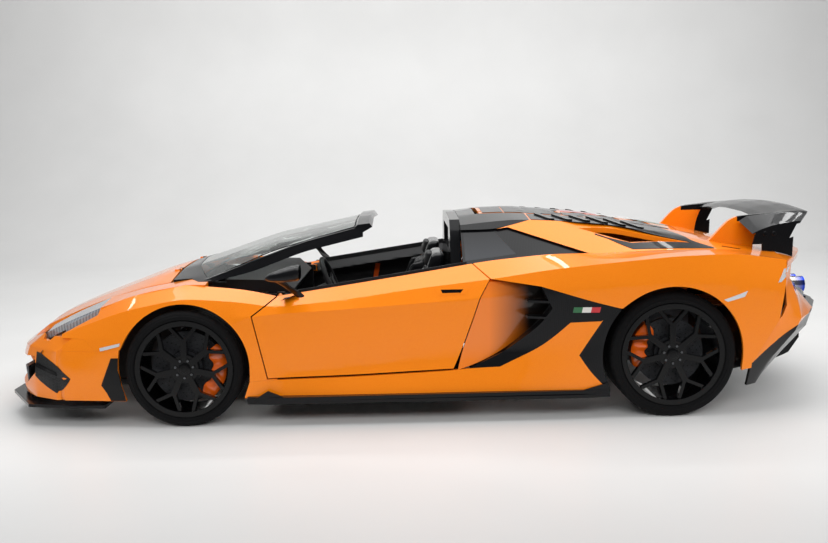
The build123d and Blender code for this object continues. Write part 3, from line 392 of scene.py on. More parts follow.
def patch(name, rows, on, material, body, side=-1, face="outer", lift=1.5, thick=3.0, fine=12.0,
          cells=0, soften=0):
    """A thin piece on a side's outer or inner face or on top of a skin. Rows are (x, z, x, z) of two ends in
    millimetres, or (x, half width) twice on top. A grid of cells no longer than fine runs straight from end
    to end and from row to row, is laid on the skin and lifted off it."""
    axis = 2 if face == "top" else 1
    way = {"outer": side, "inner": -side, "top": 1}[face]
    ends = metres(np.reshape(rows, (-1, 2, 2)))
    if face == "top":
        ends[..., 1] *= side
    length = np.linalg.norm(ends[:, 1] - ends[:, 0], axis=1).max() * 1000
    across = np.linspace(0, 1, max(2, int(length / fine) + 1))
    spans = [max(1, int(np.linalg.norm(step, axis=-1).max() * 1000 / fine)) for step in np.diff(ends, axis=0)]
    along = np.concatenate([i + np.arange(n) / n for i, n in enumerate(spans)] + [[len(spans)]])
    edges = [np.interp(along, np.arange(len(ends)), ends[:, i, k]) for i in (0, 1) for k in (0, 1)]
    edges = np.stack(edges, -1).reshape(-1, 2, 2)
    flat = edges[:, :1] + across[:, None] * (edges[:, 1:] - edges[:, :1])
    size = flat.shape[:2]
    flat = flat.reshape(-1, 2)
    reach = bridged(way * laid(on, flat, axis, way, side).reshape(size), cells, soften).ravel()
    reach = way * reach + way * lift / 1000
    top = np.insert(flat, axis, reach, axis=1)
    base = np.insert(flat, axis, reach - way * thick / 1000, axis=1)
    quads = grid_quads(*size)
    normal = np.cross(top[quads[:, 1]] - top[quads[:, 0]], top[quads[:, 2]] - top[quads[:, 0]])
    if normal[:, axis].sum() * way < 0:
        quads = quads[:, ::-1]
    index = np.arange(len(top)).reshape(size)
    rim = np.concatenate([index[0, :-1], index[:-1, -1], index[-1, :0:-1], index[:0:-1, 0]])
    next_rim = np.roll(rim, -1)
    outward = np.cross(top[next_rim] - top[rim], base[rim] - top[rim])
    walls = np.stack([rim, next_rim, next_rim + len(top), rim + len(top)], -1)
    if ((top[rim] - top.mean(0)) * outward).sum() < 0:
        walls = walls[:, ::-1]
    faces = np.vstack([quads, quads[:, ::-1] + len(top), walls])
    skins[name] = top[triangles(quads)]
    place_mesh(name, np.vstack([top, base]), faces.tolist(), material, body, fold=35)


FENDER_X, ARCH_X = -2.0215, -1.6515  # where the corner's widths and heights are given, then run straight
SILL_Z = 0.15
black = finish_of("gloss black enamel", "#050506", Roughness=0.3, Specular_IOR_Level=0.1, Coat_Weight=0.8,
                  Coat_Roughness=0.03, Coat_IOR=1.3)
mesh_black = finish_of("black powder-coated mesh", "#0A0A0B", Roughness=0.5)
# wires 12 mm apart
patterned(mesh_black, "ShaderNodeTexChecker", tones=("#040404", "#17181A"), relief=(0.8, 0.003),
          turn=(0.0, 0.785, 0.0), Scale=84.0)
# each piece's rows, finish, slot, lift, thickness, bridged cells and softening
CORNER_PIECES = {
    "wheel_blade": (((-402, 396, -362, 396), (-430, 330, -367, 330), (-467, 243, -353, 243),
                     (-440, 200, -340, 200), (-417, 153, -331, 153)), black, "carbon", 5, 10, 2, 3),
    "corner_intake": (((-884, 406, -846, 404), (-884, 355, -742, 355), (-884, 277, -645, 277),
                       (-855, 252, -662, 252), (-802, 220, -690, 220), (-745, 192, -728, 192)),
                      mesh_black, "black_trim", 4, 4, 2, 4),
    "intake_frame": (((-884, 420, -830, 420), (-878, 404, -846, 404)), black, "carbon", 8, 8, 2, 4),
    "intake_vane": (((-880, 350, -735, 309), (-880, 330, -731, 288)), black, "carbon", 9, 9, 3, 6)}
drawn("front_vanes", enamel, "chassis", "paint")
for side, way in SIDES:
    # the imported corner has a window; the painted skin is whole, so it is laid over the corner and this plane,
    # which stands in the window and bows out from the sill to its middle and in again to its top
    x, z = np.meshgrid(np.linspace(-1.9715, -1.8095, 14), np.linspace(0.18, 0.41, 18))
    share = (x - FENDER_X) / (ARCH_X - FENDER_X)
    low, foot, brow, middle, top = (start + (end - start) * share for start, end in (
        (0.905, 0.962), (0.925, 0.972), (0.905, 0.972), (0.300, 0.330), (0.430, 0.520)))
    y = way * np.where(z < middle, low + (foot - low) * (z - SILL_Z) / (middle - SILL_Z),
                       foot + (brow - foot) * (z - middle) / (top - middle))
    skins[f"corner_{side}"] = np.stack([x, y, z], -1).reshape(-1, 3)[triangles(grid_quads(*x.shape))]
    corner = ["front_vanes", "front_bumper", f"corner_{side}"]
    patch(f"corner_skin_{side}", ((-720, 430, -357, 430), (-738, 400, -361, 400), (-746, 340, -366, 340),
                                  (-746, 290, -362, 290), (-742, 240, -352, 240), (-738, 190, -337, 190),
                                  (-734, 152, -330, 152)),
          corner, enamel, "chassis", way, lift=2, thick=4, cells=2, soften=3)
    corner += ["front_fenders", f"corner_skin_{side}"]
    for name, (rows, material, slot, lift, thick, cells, soften) in CORNER_PIECES.items():
        patch(f"{name}_{side}", rows, corner, material, "chassis", way, lift=lift, thick=thick,
              cells=cells, soften=soften)

# ---- Markers and lamps -------------------------------------------------------------------------------
# Headlamps are clear moulded polycarbonate over satin reflectors, tail lamps the same in red; side markers
# are pale reflectors set flush.
silvered = finish_of("clear-over-silver reflector", "#D9DBDD", Metallic=0.3, Roughness=0.22, Coat_Weight=1.0,
                     Coat_Roughness=0.02)
# moulded flutes 6 mm apart
patterned(silvered, "ShaderNodeTexWave", relief=(0.3, 0.002), Scale=50.0)
for side, way in SIDES:
    patch(f"front_marker_{side}", ((-466, 452, -462, 434), (-346, 480, -350, 463)),
          ["front_vanes", "front_bumper", "front_fenders", f"corner_{side}", f"corner_skin_{side}"], silvered,
          "chassis", way, lift=5, thick=7)
    patch(f"rear_marker_{side}", ((2963, 655, 2985, 643), (3095, 700, 3079, 669)), ["rear_quarters"],
          silvered, "chassis", way, lift=2, thick=4)
    patch(f"tail_lamp_end_{side}", ((3277, 736, 3296, 738), (3300, 775, 3345, 780), (3317, 808, 3382, 812)),
          ["rear_quarters", "rear_bumper"], silvered, "chassis", way, lift=3, thick=5)
polycarbonate = finish_of("clear polycarbonate", "#A9AFB7", Roughness=0.06, Transmission_Weight=0.35,
                          IOR=1.58, Coat_Weight=1.0, Coat_Roughness=0.02)
# the lamp's own fins show through as dark and pale bands 18 mm apart
patterned(polycarbonate, "ShaderNodeTexWave", tones=("#85888E", "#B4B8BE"), Scale=17.0, Distortion=1.5)
drawn("headlamps", polycarbonate, "chassis", "lamp")
ruby = finish_of("red polycarbonate", "#7A0A0C", Roughness=0.1, Coat_Weight=1.0, Transmission_Weight=0.2)
# the red lens is ribbed, its ribs 16 mm apart
patterned(ruby, "ShaderNodeTexWave", tones=("#3A0405", "#A01014"), Scale=20.0)
drawn("tail_lamps", ruby, "chassis", "lamp_red")

# ---- Roof and engine cover trim ----------------------------------------------------------------------
# Black composite panels flank a painted spine; they carry slats that let the engine's heat out. A stripe in
# three colours is laid on the spine in film.
STRIPE_HALF = 105
SLATS, FIRST_SLAT, SLAT_STEP, SLAT_WIDTH, SLAT_RAKE = 6, 2020, 105, 34, 60
SLAT_INNER, SLAT_OUTER = 372, 575
film = {}
for name, colour in (("red", "#B8141F"), ("white", "#CFCDC8"), ("green", "#0D5C2F")):
    film[name] = finish_of(f"{name} cast vinyl film", colour, Roughness=0.3, Coat_Weight=0.8,
                           Coat_Roughness=0.05)
    # the paint's orange peel shows through
    patterned(film[name], "ShaderNodeTexNoise", relief=(0.02, 0.001), Scale=300.0)
for name, rows in (("a", ((1712, -306, 1712, 306), (1838, -312, 1838, 312))),
                   ("b", ((1846, -312, 1846, 312), (2205, -318, 2205, 318)))):
    patch(f"cover_front_panel_{name}", rows, ["engine_cover"], carbon, "engine_cover", face="top",
          lift=3, thick=4, cells=3, soften=1)
for name, *ends in (("red", 2222, 2457), ("white", 2457, 2715), ("green", 2715, 2925)):
    patch(f"spine_stripe_{name}", [(x, -STRIPE_HALF, x, STRIPE_HALF) for x in ends], ["engine_cover"],
          film[name], "engine_cover", face="top", lift=0.8, thick=1.2, cells=3, soften=1)
for side, way in SIDES:
    for name, on, body, cells, rows in (
            ("cover_panel", "engine_cover", "engine_cover", 3,
             ((2212, 165, 2212, 318), (2450, 165, 2450, 330), (2770, 195, 2770, 332),
              (2850, 300, 2850, 334))),
            ("deck_panel", "rear_deck", "chassis", 3,
             ((1975, 352, 1975, 580), (2150, 354, 2150, 594), (2236, 355, 2236, 616), (2330, 356, 2330, 624),
              (2440, 357, 2440, 614), (2700, 360, 2700, 656), (2790, 364, 2790, 670), (2860, 560, 2860, 682),
              (2893, 650, 2893, 720), (2990, 752, 2990, 766))),
            ("deck_outer_panel", "rear_deck", "chassis", 0,
             ((2330, 676, 2330, 684), (2400, 703, 2400, 712), (2527, 738, 2527, 790), (2700, 716, 2700, 789),
              (2860, 698, 2860, 782), (2990, 762, 2990, 774)))):
        patch(f"{name}_{side}", rows, [on], carbon, body, way, "top", lift=2.5, thick=4,
              cells=cells, soften=min(cells, 1))
    for i in range(SLATS):
        front = FIRST_SLAT + SLAT_STEP * i
        back = front + SLAT_WIDTH
        rows = ((front, SLAT_INNER, back, SLAT_INNER),
                (front + SLAT_RAKE, SLAT_OUTER, back + SLAT_RAKE, SLAT_OUTER))
        patch(f"deck_slat_{side}_{i}", rows, ["rear_deck"], black, "chassis", way, "top",
              lift=11, thick=8)
    patch(f"deck_slit_{side}", ((3050, 716, 3060, 700), (3140, 758, 3150, 744)), ["rear_deck"], black,
          "chassis", way, "top")

# ---- Door furniture ----------------------------------------------------------------------------------
# A flush pull handle in a sunk tray and, inside, a leather-covered door card with a seal along its top and an
# orange pull strap. Three small bars of film stand behind each door.
BAR_WIDTH, BAR_RAKE = 48, 6
hide = finish_of("black leather", "#111112", Roughness=0.5, Specular_IOR_Level=0.4)
# pebbled grain of about 2 mm, drawn at 3 mm
patterned(hide, "ShaderNodeTexVoronoi", "Distance", ("#0D0D0E", "#19191B"), (0.3, 0.0008), Scale=330.0)
webbing = finish_of("orange woven webbing", "#C24A0A", Roughness=0.8)
# ribs of the weave 3 mm apart
patterned(webbing, "ShaderNodeTexWave", relief=(0.5, 0.001), Scale=105.0)
for side, way in SIDES:
    door = f"door_{side}"
    patch(f"handle_tray_{side}", ((1392, 744, 1592, 746), (1404, 724, 1580, 726), (1412, 706, 1556, 708)),
          [door], enamel, door, way, lift=3, thick=5, fine=8)
    # painted shade: the dark inside the handle's finger recess, a gloss black strip laid on the tray
    patch(f"handle_recess_shade_{side}", ((1428, 734, 1552, 735), (1436, 716, 1536, 717)), [door], black, door,
          way, lift=4, fine=8)
    patch(f"door_card_{side}", ((560, 706, 1585, 850), (540, 670, 1585, 740), (530, 610, 1560, 610),
                                (560, 440, 1510, 440), (600, 330, 1470, 330)),
          [door], hide, door, way, "inner", lift=5, thick=4, cells=2)
    patch(f"belt_seal_{side}", ((600, 732, 1580, 871), (600, 702, 1580, 841)), [door], hide, door,
          way, "inner", lift=7, thick=9, fine=20, soften=1)
    patch(f"door_strap_{side}", ((1010, 690, 1045, 690), (985, 560, 1020, 560)), [door], webbing, door,
          way, "inner", lift=9, thick=5, fine=15)
    for name, x in (("green", 2152), ("white", 2200), ("red", 2248)):
        patch(f"flag_{name}_{side}", ((x, 628, x + BAR_WIDTH, 628),
                                      (x - BAR_RAKE, 598, x - BAR_RAKE + BAR_WIDTH, 598)),
              ["intake_trims"], film[name], "chassis", way, lift=1, thick=1.5, fine=8)

# ---- Glass -------------------------------------------------------------------------------------------
# Laminated windscreen and toughened panes: clear, faintly grey-green glass with polished faces. The quarter
# panes are smoked.
glass = finish_of("tinted safety glass", "#D5DBD8", Roughness=0.01, Transmission_Weight=1.0, IOR=1.45)
# the slight sag of a bent pane, over a third of a metre
patterned(glass, "ShaderNodeTexNoise", relief=(0.02, 0.002), Scale=3.0)
drawn("windscreen", glass, "chassis", "glass", rounds=30)
smoked = finish_of("smoked side glass", "#101214", Roughness=0.05, Specular_IOR_Level=0.25)
graded(smoked, "Z", 0.86, 1.03, ("#34363A", "#141517"))


def dress(name, material):
    """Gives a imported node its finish."""
    nodes[name].data.materials.clear()
    nodes[name].data.materials.append(material)


dress("cabin_glass", smoked)

# ---- Cabin -------------------------------------------------------------------------------------------
# A moulded tub with a leather-covered dash and steering wheel.
moulded = finish_of("moulded black plastic", "#0B0B0C", Roughness=0.45)
# spark-eroded mould grain, about 1 mm, drawn at 2 mm
patterned(moulded, "ShaderNodeTexNoise", relief=(0.15, 0.0005), Scale=500.0)
drawn("dashboard", hide, "chassis", "leather", fold=75, rounds=12)
dress("steering_wheel", hide)
dress("monocoque_tub", moulded)

# ---- Door mirrors ------------------------------------------------------------------------------------
# A moulded carbon head, drop-shaped in side view and flat at the glass, on a thin swept foot that is screwed
# to the door; its underside is painted with the body.
HEAD_ROWS, HEAD_COLUMNS = 37, 48
HEAD_X, HEAD_LENGTH, HEAD_Y, HEAD_HALF_WIDTH, HEAD_Z = 478, 188, 1046, 78, 832
ABOVE, BELOW = 46, 42  # the head's height on each side of its middle line
SWELL_END, SWELL_POWER, CLOSE_START, CLOSE_RATE = 0.8, 2.2, 0.92, 1.6
PAINT_TOP, PAINT_FRONT, PAINT_BACK = 0.812, -0.80, -0.68
FOOT_ROWS, FOOT_COLUMNS = 19, 20
silver = finish_of("silvered mirror glass", "#C6CACC", Metallic=1.0, Roughness=0.03)
patterned(silver, "ShaderNodeTexNoise", relief=(0.02, 0.001), Scale=8.0)


def bowed(value, power):
    """A cosine or sine raised to a power with its sign kept, which squares a circle or draws it in."""
    return np.sign(value) * np.abs(value) ** power


for side, way in SIDES:
    # sections along x: their height and width swell as a root of the way along, then close at the glass
    t, turn = np.meshgrid(np.linspace(0, 1, HEAD_ROWS),
                          np.linspace(0, 2 * np.pi, HEAD_COLUMNS, endpoint=False), indexing="ij")
    swell = np.sqrt(np.clip(1 - (1 - t / SWELL_END).clip(0) ** SWELL_POWER, 0, 1))
    swell *= np.where(t > CLOSE_START, 1 - (t - CLOSE_START) * CLOSE_RATE, 1)
    wide, high = bowed(np.cos(turn), 0.75), bowed(np.sin(turn), 0.75)
    x = HEAD_X + HEAD_LENGTH * t
    y = HEAD_Y + swell * wide * HEAD_HALF_WIDTH - 10 * t
    z = HEAD_Z + 26 * t + swell * high * np.where(high > 0, ABOVE, BELOW) * (0.75 + 0.25 * t)
    points = metres(np.stack([x, way * y, z], -1)).reshape(-1, 3)
    quads = grid_quads(HEAD_ROWS, HEAD_COLUMNS, closed=True)[:, [0, 3, 2, 1]]
    # the glass is a fan of triangles from its middle
    first = np.arange(HEAD_COLUMNS) + len(points) - HEAD_COLUMNS
    lid = np.stack([first, np.roll(first, -1), np.full(HEAD_COLUMNS, len(points))], -1)
    points = np.vstack([points, points[first].mean(0)])
    if way > 0:
        quads, lid = quads[:, ::-1], lid[:, [2, 1, 0]]
    head = place_mesh(f"mirror_head_{side}", points, quads.tolist() + lid.tolist(), carbon, f"door_{side}",
                      fold=50)
    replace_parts(head, f"mirror_{side}")
    head.data.materials.append(enamel)
    head.data.materials.append(silver)
    x, _, z = points[quads].mean(1).T
    kind = np.full(len(head.data.polygons), 2, np.int32)
    kind[:len(quads)] = (z < PAINT_TOP) & (x > PAINT_FRONT) & (x < PAINT_BACK)
    head.data.polygons.foreach_set("material_index", kind)
    # the foot: an ellipse carried down a bent path from under the head to the door's belt
    s = np.linspace(0, 1, FOOT_ROWS)
    spine = np.stack([np.interp(s, [0, 0.25, 0.8, 1], [545, 572, 622, 650]),
                      way * np.interp(s, [0, 0.5, 0.8, 1], [1040, 990, 958, 936]),
                      np.interp(s, [0, 0.3, 0.85, 1], [822, 792, 742, 716])], -1)
    wide, thick = (np.interp(s, [0, 0.4, 1], sizes)[:, None] for sizes in ([30, 20, 26], [13, 8, 10]))
    turn = np.linspace(0, 2 * np.pi, FOOT_COLUMNS, endpoint=False)
    points = metres(spine[:, None] + np.stack([wide * np.cos(turn), way * 0.25 * thick * np.cos(turn),
                                               thick * np.sin(turn)], -1))
    quads = grid_quads(FOOT_ROWS, FOOT_COLUMNS, closed=True)
    first = np.arange(FOOT_COLUMNS)
    last = first + (FOOT_ROWS - 1) * FOOT_COLUMNS
    if way > 0:
        quads, last = quads[:, ::-1], last[::-1]
    else:
        first = first[::-1]
    place_mesh(f"mirror_foot_{side}", points, quads.tolist() + [first.tolist(), last.tolist()], black,
               f"door_{side}", fold=50)

# ---- Seats -------------------------------------------------------------------------------------------
# Each seat is a moulded carbon shell that holds foam pads covered in leather: a base pad, a back pad and a
# small head pad. The pads are blown up with air pressure as cloth, so that they crown between their edges.
SEAT_Y = 390
PAD_CELL = 0.006
AIR_PRESSURE, AIR_FRAMES, AIR_MOST = 4.0, 20, 0.012
SEAM_DEPTH, SEAM_REACH, CHANNEL_STEP, SEAM_SHARE = 0.005, 0.004, 0.062, 0.62
PADS = {"base": (((832, 330), (960, 318), (1120, 300), (1180, 292)), 74, 152),
        "back": (((1192, 330), (1255, 500), (1318, 680), (1352, 780)), 62, 150),
        "head": (((1362, 812), (1380, 868), (1386, 892)), 50, 105)}


def read(items, what):
    """A three-number value of every vertex or normal, as rows."""
    flat = np.empty(len(items) * 3)
    items.foreach_get(what, flat)
    return flat.reshape(-1, 3)


def upholster(piece):
    """Rides a pad on the car."""
    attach(piece, "chassis")


def pad(name, rows, thick, half_width, centre_y):
    """A pad along a line of (x, z) points in millimetres: a rounded slab, its edges an oval of power 2.6."""
    line = np.array(rows, float)
    u, v = np.meshgrid(np.linspace(0, 1, 33), np.linspace(0, 2 * np.pi, 64, endpoint=False), indexing="ij")
    s = np.linspace(0, 1, len(line))
    x, z = np.interp(u, s, line[:, 0]), np.interp(u, s, line[:, 1])
    way = np.gradient(np.stack([x[:, 0], z[:, 0]], -1), axis=0)
    way /= np.linalg.norm(way, axis=1)[:, None]
    ends = np.clip(1 - np.abs(2 * u - 1) ** 5, 0, 1) ** (1 / 2.6)
    wide = bowed(np.cos(v), 2 / 4.5) * half_width * (0.9 + 0.1 * ends)
    deep = bowed(np.sin(v), 2 / 2.6) * thick / 2 * ends
    points = metres(np.stack([x - way[:, 1, None] * deep, centre_y + wide * np.where(ends > 0, 1, 0.96),
                              z + way[:, 0, None] * deep], -1))
    quads = grid_quads(*u.shape, closed=True)[:, [0, 3, 2, 1]]
    first = np.arange(u.shape[1])
    last = first[::-1] + u.size - u.shape[1]
    piece = place_mesh(name, points, quads.tolist() + [first.tolist(), last.tolist()], hide, None)
    bpy.context.view_layer.update()
    even = piece.modifiers.new("even", "REMESH")
    even.mode, even.voxel_size = "VOXEL", PAD_CELL
    mesh = bpy.data.meshes.new_from_object(piece.evaluated_get(bpy.context.evaluated_depsgraph_get()))
    piece.modifiers.clear()
    piece.data = mesh
    mesh.materials.clear()
    mesh.materials.append(hide)
    points = read(mesh.vertices, "co")
    air = piece.modifiers.new("air", "CLOTH")
    air.settings.use_pressure, air.settings.uniform_pressure_force = True, AIR_PRESSURE
    air.settings.effector_weights.gravity = 0
    air.point_cache.frame_start, air.point_cache.frame_end = 1, AIR_FRAMES
    for moment in range(1, AIR_FRAMES + 1):
        bpy.context.scene.frame_set(moment)
    blown = bpy.data.meshes.new_from_object(piece.evaluated_get(bpy.context.evaluated_depsgraph_get()))
    move = read(blown.vertices, "co") - points
    piece.modifiers.clear()
    bpy.context.scene.frame_set(1)
    size = np.linalg.norm(move, axis=1)[:, None]
    points = points + move * np.minimum(1, AIR_MOST / np.maximum(size, 1e-9))
    # sewn channels: the cover is pulled in along lines across the pad, and along both edges of its middle
    run = line[-1] - line[0]
    along = (points[:, 0] * run[0] + points[:, 2] * run[1]) / np.hypot(*run)
    from_edge = np.abs(points[:, 1] - centre_y / 1000) - half_width * SEAM_SHARE / 1000
    to_channel = ((along / CHANNEL_STEP) % 1 - 0.5) * CHANNEL_STEP
    pull, seam = (SEAM_DEPTH * np.exp(-(gap / SEAM_REACH) ** 2) for gap in (to_channel, from_edge))
    mesh.vertices.foreach_set("co", points.ravel())
    mesh.update()
    depth = np.maximum(pull * (from_edge < 0), seam)[:, None]
    mesh.vertices.foreach_set("co", (points - read(mesh.vertex_normals, "vector") * depth).ravel())
    mesh.polygons.foreach_set("use_smooth", np.ones(len(mesh.polygons), bool))
    mesh.update()
    upholster(piece)
    return piece


drawn("seats", carbon, "chassis", "leather", fold=110, rounds=30, longest=0.015)
for name, (rows, thick, half_width) in PADS.items():
    made = pad(f"seat_{name}_pad_left", rows, thick, half_width, -SEAT_Y)
    # the same pad for the other seat, its place in its mesh
    twin = made.data.copy()
    twin.vertices.foreach_set("co", (read(twin.vertices, "co") + (0, 2 * SEAT_Y / 1000, 0)).ravel())
    twin.update()
    other = bpy.data.objects.new(f"seat_{name}_pad_right", twin)
    bpy.context.scene.collection.objects.link(other)
    upholster(other)

# ---- Running gear ------------------------------------------------------------------------------------
# Machined steel arms and uprights, a cast engine block, and titanium pipes that heat has blued at their tips.
steel = finish_of("machined steel", "#6B6D70", Metallic=1.0, Roughness=0.35)
# turning marks, seen as streaks of duller and brighter metal
cuts = patterned(steel, "ShaderNodeTexNoise", Scale=150.0, Detail=3.0)
feed(steel, add(steel, "ShaderNodeMapRange", [("Value", cuts, "Fac")], To_Min=0.25, To_Max=0.5), "Result",
     "Roughness")
for name in ("suspension", "rear_uprights", "rear_frame", "front_frame", "lid_hinges", "upright_front_left",
             "upright_front_right"):
    dress(name, steel)
cast = finish_of("cast aluminium", "#5A5B5E", Metallic=1.0, Roughness=0.5)
# sand of the mould, about 1 mm, drawn at 2.5 mm
patterned(cast, "ShaderNodeTexNoise", relief=(0.4, 0.001), Scale=400.0)
dress("engine", cast)
blued = finish_of("heat-blued titanium", "#8B8F98", Metallic=1.0, Roughness=0.18)
graded(blued, "X", 2.40, 2.465, ("#B9B4AA", "#1B3FB8"))
dress("exhaust", blued)

# ---- Wheels ------------------------------------------------------------------------------------------
# Low-profile radial tyres with a grooved tread, on forged gloss black wheels; drilled ceramic discs behind
# them. Each wheel is held by one hub nut under a plain cap and seven bolts between the spokes' roots.
AXLES = {"front": dict(x=0, track=860, radius=326, width=255, bead=251, face=106, disc=26),
         "rear": dict(x=2700, track=840, radius=350, width=345, bead=264, face=150, disc=70)}
WALL_ROWS, TREAD_COLUMNS = 57, 240
GROOVE_HALF, GROOVE_DEPTH, SIPE_DEPTH = 5, 7.0, 5.0
SIPES, SIPE_SHARE, SIPE_RAKE = 46, 0.16, 46
CAP_PROFILE = ((0, 34), (9, 33), (12, 28), (12, 20), (14, 19), (15, 0.01))
BOLTS, BOLT_CIRCLE, BOLT_RADIUS, BOLT_HEIGHT = 7, 50, 6.5, 6
HOLE_RINGS, HOLES_ROUND, HOLE_TWIST, HOLE_RADIUS = np.arange(98, 182, 19), 21, 0.11, 4.0
rubber = finish_of("tyre rubber", "#0C0C0D", Roughness=0.7, Specular_IOR_Level=0.15)
# the bloom and scuffs of used rubber
patterned(rubber, "ShaderNodeTexNoise", "Fac", ("#080809", "#121213"), (0.2, 0.0006), Scale=90.0, Detail=4.0)
alloy = finish_of("gloss black forged alloy", "#040405", Roughness=0.25, Specular_IOR_Level=0.12,
                  Coat_Weight=0.9, Coat_Roughness=0.02, Coat_IOR=1.27)
# the coat rounds every edge by 5 mm and catches a line of light there
feed(alloy, add(alloy, "ShaderNodeBevel", Radius=0.005), "Normal", "Normal")
iron = finish_of("carbon-ceramic brake disc", "#232426", Metallic=0.3, Roughness=0.4, Specular_IOR_Level=0.3)
# chopped fibres of 6 mm
patterned(iron, "ShaderNodeTexVoronoi", "Distance", ("#1B1C1E", "#303134"), Scale=160.0)
# painted shade: a near-black finish for the disc's holes, drawn as studs on the disc, not cut through it
hole_shade = finish_of("unlit drilling", "#020202", Roughness=0.9)


def tyre(name, at, half, bead, radius, body):
    """The tread and walls: radius and distance from the wheel plane, in millimetres, as functions of the
    share of the way from bead to bead; grooves run round the tread and short sipes cut its shoulders."""
    knots = ((0, -half + 18, bead), (0.04, -half + 15, bead + 22), (0.07, -half + 3, bead + 28),
             (0.16, -half, bead + 44), (0.26, -half + 8, radius - 16), (0.31, -half + 22, radius - 3),
             (0.36, -half + 34, radius), (0.64, half - 34, radius), (0.69, half - 22, radius - 3),
             (0.74, half - 8, radius - 16), (0.84, half, bead + 44), (0.93, half - 3, bead + 28),
             (0.96, half - 15, bead + 22), (1, half - 18, bead))
    share = np.linspace(0, 1, WALL_ROWS)
    knot, off, out = np.array(knots, float).T
    off, out = (np.interp(share, knot, values)[:, None] for values in (off, out))
    angle = np.linspace(0, 2 * np.pi, TREAD_COLUMNS, endpoint=False)
    from_middle = np.abs(off)
    groove = (np.abs(from_middle - 0.36 * half) < GROOVE_HALF) | (from_middle < GROOVE_HALF)
    shoulder = (from_middle > 0.42 * half) & (from_middle < half - 14)
    sipe = ((angle * SIPES / (2 * np.pi) + from_middle / SIPE_RAKE) % 1 < SIPE_SHARE) & shoulder
    depth = np.where(groove & (from_middle < half - 22), GROOVE_DEPTH, 0) + SIPE_DEPTH * sipe
    # fine rings moulded in the wall
    wall = np.where((out > bead + 32) & (out < radius - 20), 0.9 * np.cos(out * 0.55), 0)
    r = (out - depth) / 1000
    y = np.broadcast_to(off + np.sign(off) * (wall - 0.9), r.shape) / 1000
    points = np.stack([r * np.cos(angle), y, r * np.sin(angle)], -1) + metres(at)
    quads = grid_quads(*r.shape, closed=True, ring=True)
    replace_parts(place_mesh(f"{name}_moulded", points, quads.tolist(), rubber, body, fold=40), name)


def studs(name, spots, way, at, size, low, high, material, body):
    """Hexagonal studs at (x, z) spots about a centre, from one distance out along y to another."""
    corner = np.arange(6)
    angle = corner * np.pi / 3
    ring = spots[:, None] + size * np.stack([np.cos(angle), np.sin(angle)], -1)
    shape = np.concatenate([np.insert(ring, 1, way * out, axis=-1) for out in (low, high)], 1)
    base = np.arange(len(spots))[:, None, None] * 12
    beside = (corner + 1) % 6
    walls = (base + np.stack([corner, beside, beside + 6, corner + 6], -1)).reshape(-1, 4)
    ends = np.vstack([base[:, 0] + corner + 6, base[:, 0] + corner[::-1]])
    if way > 0:
        walls, ends = walls[:, ::-1], ends[:, ::-1]
    place_mesh(name, shape.reshape(-1, 3) / 1000 + metres(at), walls.tolist() + ends.tolist(), material, body,
               smooth=False)


bolt_angle = np.pi / 2 + np.pi / BOLTS + np.arange(BOLTS) * 2 * np.pi / BOLTS
bolts = BOLT_CIRCLE * np.stack([np.cos(bolt_angle), np.sin(bolt_angle)], 1)
hole_angle = np.add.outer(np.arange(len(HOLE_RINGS)) * HOLE_TWIST,
                          np.arange(HOLES_ROUND) * 2 * np.pi / HOLES_ROUND)
holes = np.stack([HOLE_RINGS[:, None] * np.cos(hole_angle), HOLE_RINGS[:, None] * np.sin(hole_angle)], -1)
for axle, size in AXLES.items():
    for side, way in SIDES:
        body, tail = f"wheel_{axle}_{side}", f"{axle}_{side}"
        centre = (size["x"], way * size["track"], size["radius"])
        tyre(f"tyre_{tail}", centre, size["width"] / 2, size["bead"], size["radius"], body)
        dress(f"rim_{tail}", alloy)
        dress(f"disc_{tail}", iron)
        # the hub cap and the bolts stand on the spokes' face; the disc's holes are painted shade, dark studs
        # just out of the disc's face
        face, disc = size["face"], size["disc"]
        turned(f"hub_cap_{tail}", [(face + out, r) for out, r in CAP_PROFILE], way, centre, black, body,
               48)
        studs(f"bolts_{tail}", bolts, way, centre, BOLT_RADIUS, face, face + BOLT_HEIGHT, steel, body)
        studs(f"hole_shade_studs_{tail}", holes.reshape(-1, 2), way, centre, HOLE_RADIUS, disc - 2, disc + 0.4, hole_shade,
              body)

# ---- Calipers ----------------------------------------------------------------------------------------
# Cast aluminium calipers, each one piece over the disc's edge with bores for the pistons, enamelled orange
# and bolted to the knuckle or the upright.
CALIPER_SECTIONS, END_CUT = 73, 0.14
brake = finish_of("brake caliper enamel", "#E2600E", Roughness=0.28, Coat_Weight=0.9)
# the cast skin under the enamel, 8 mm
patterned(brake, "ShaderNodeTexNoise", relief=(0.1, 0.001), Scale=120.0)


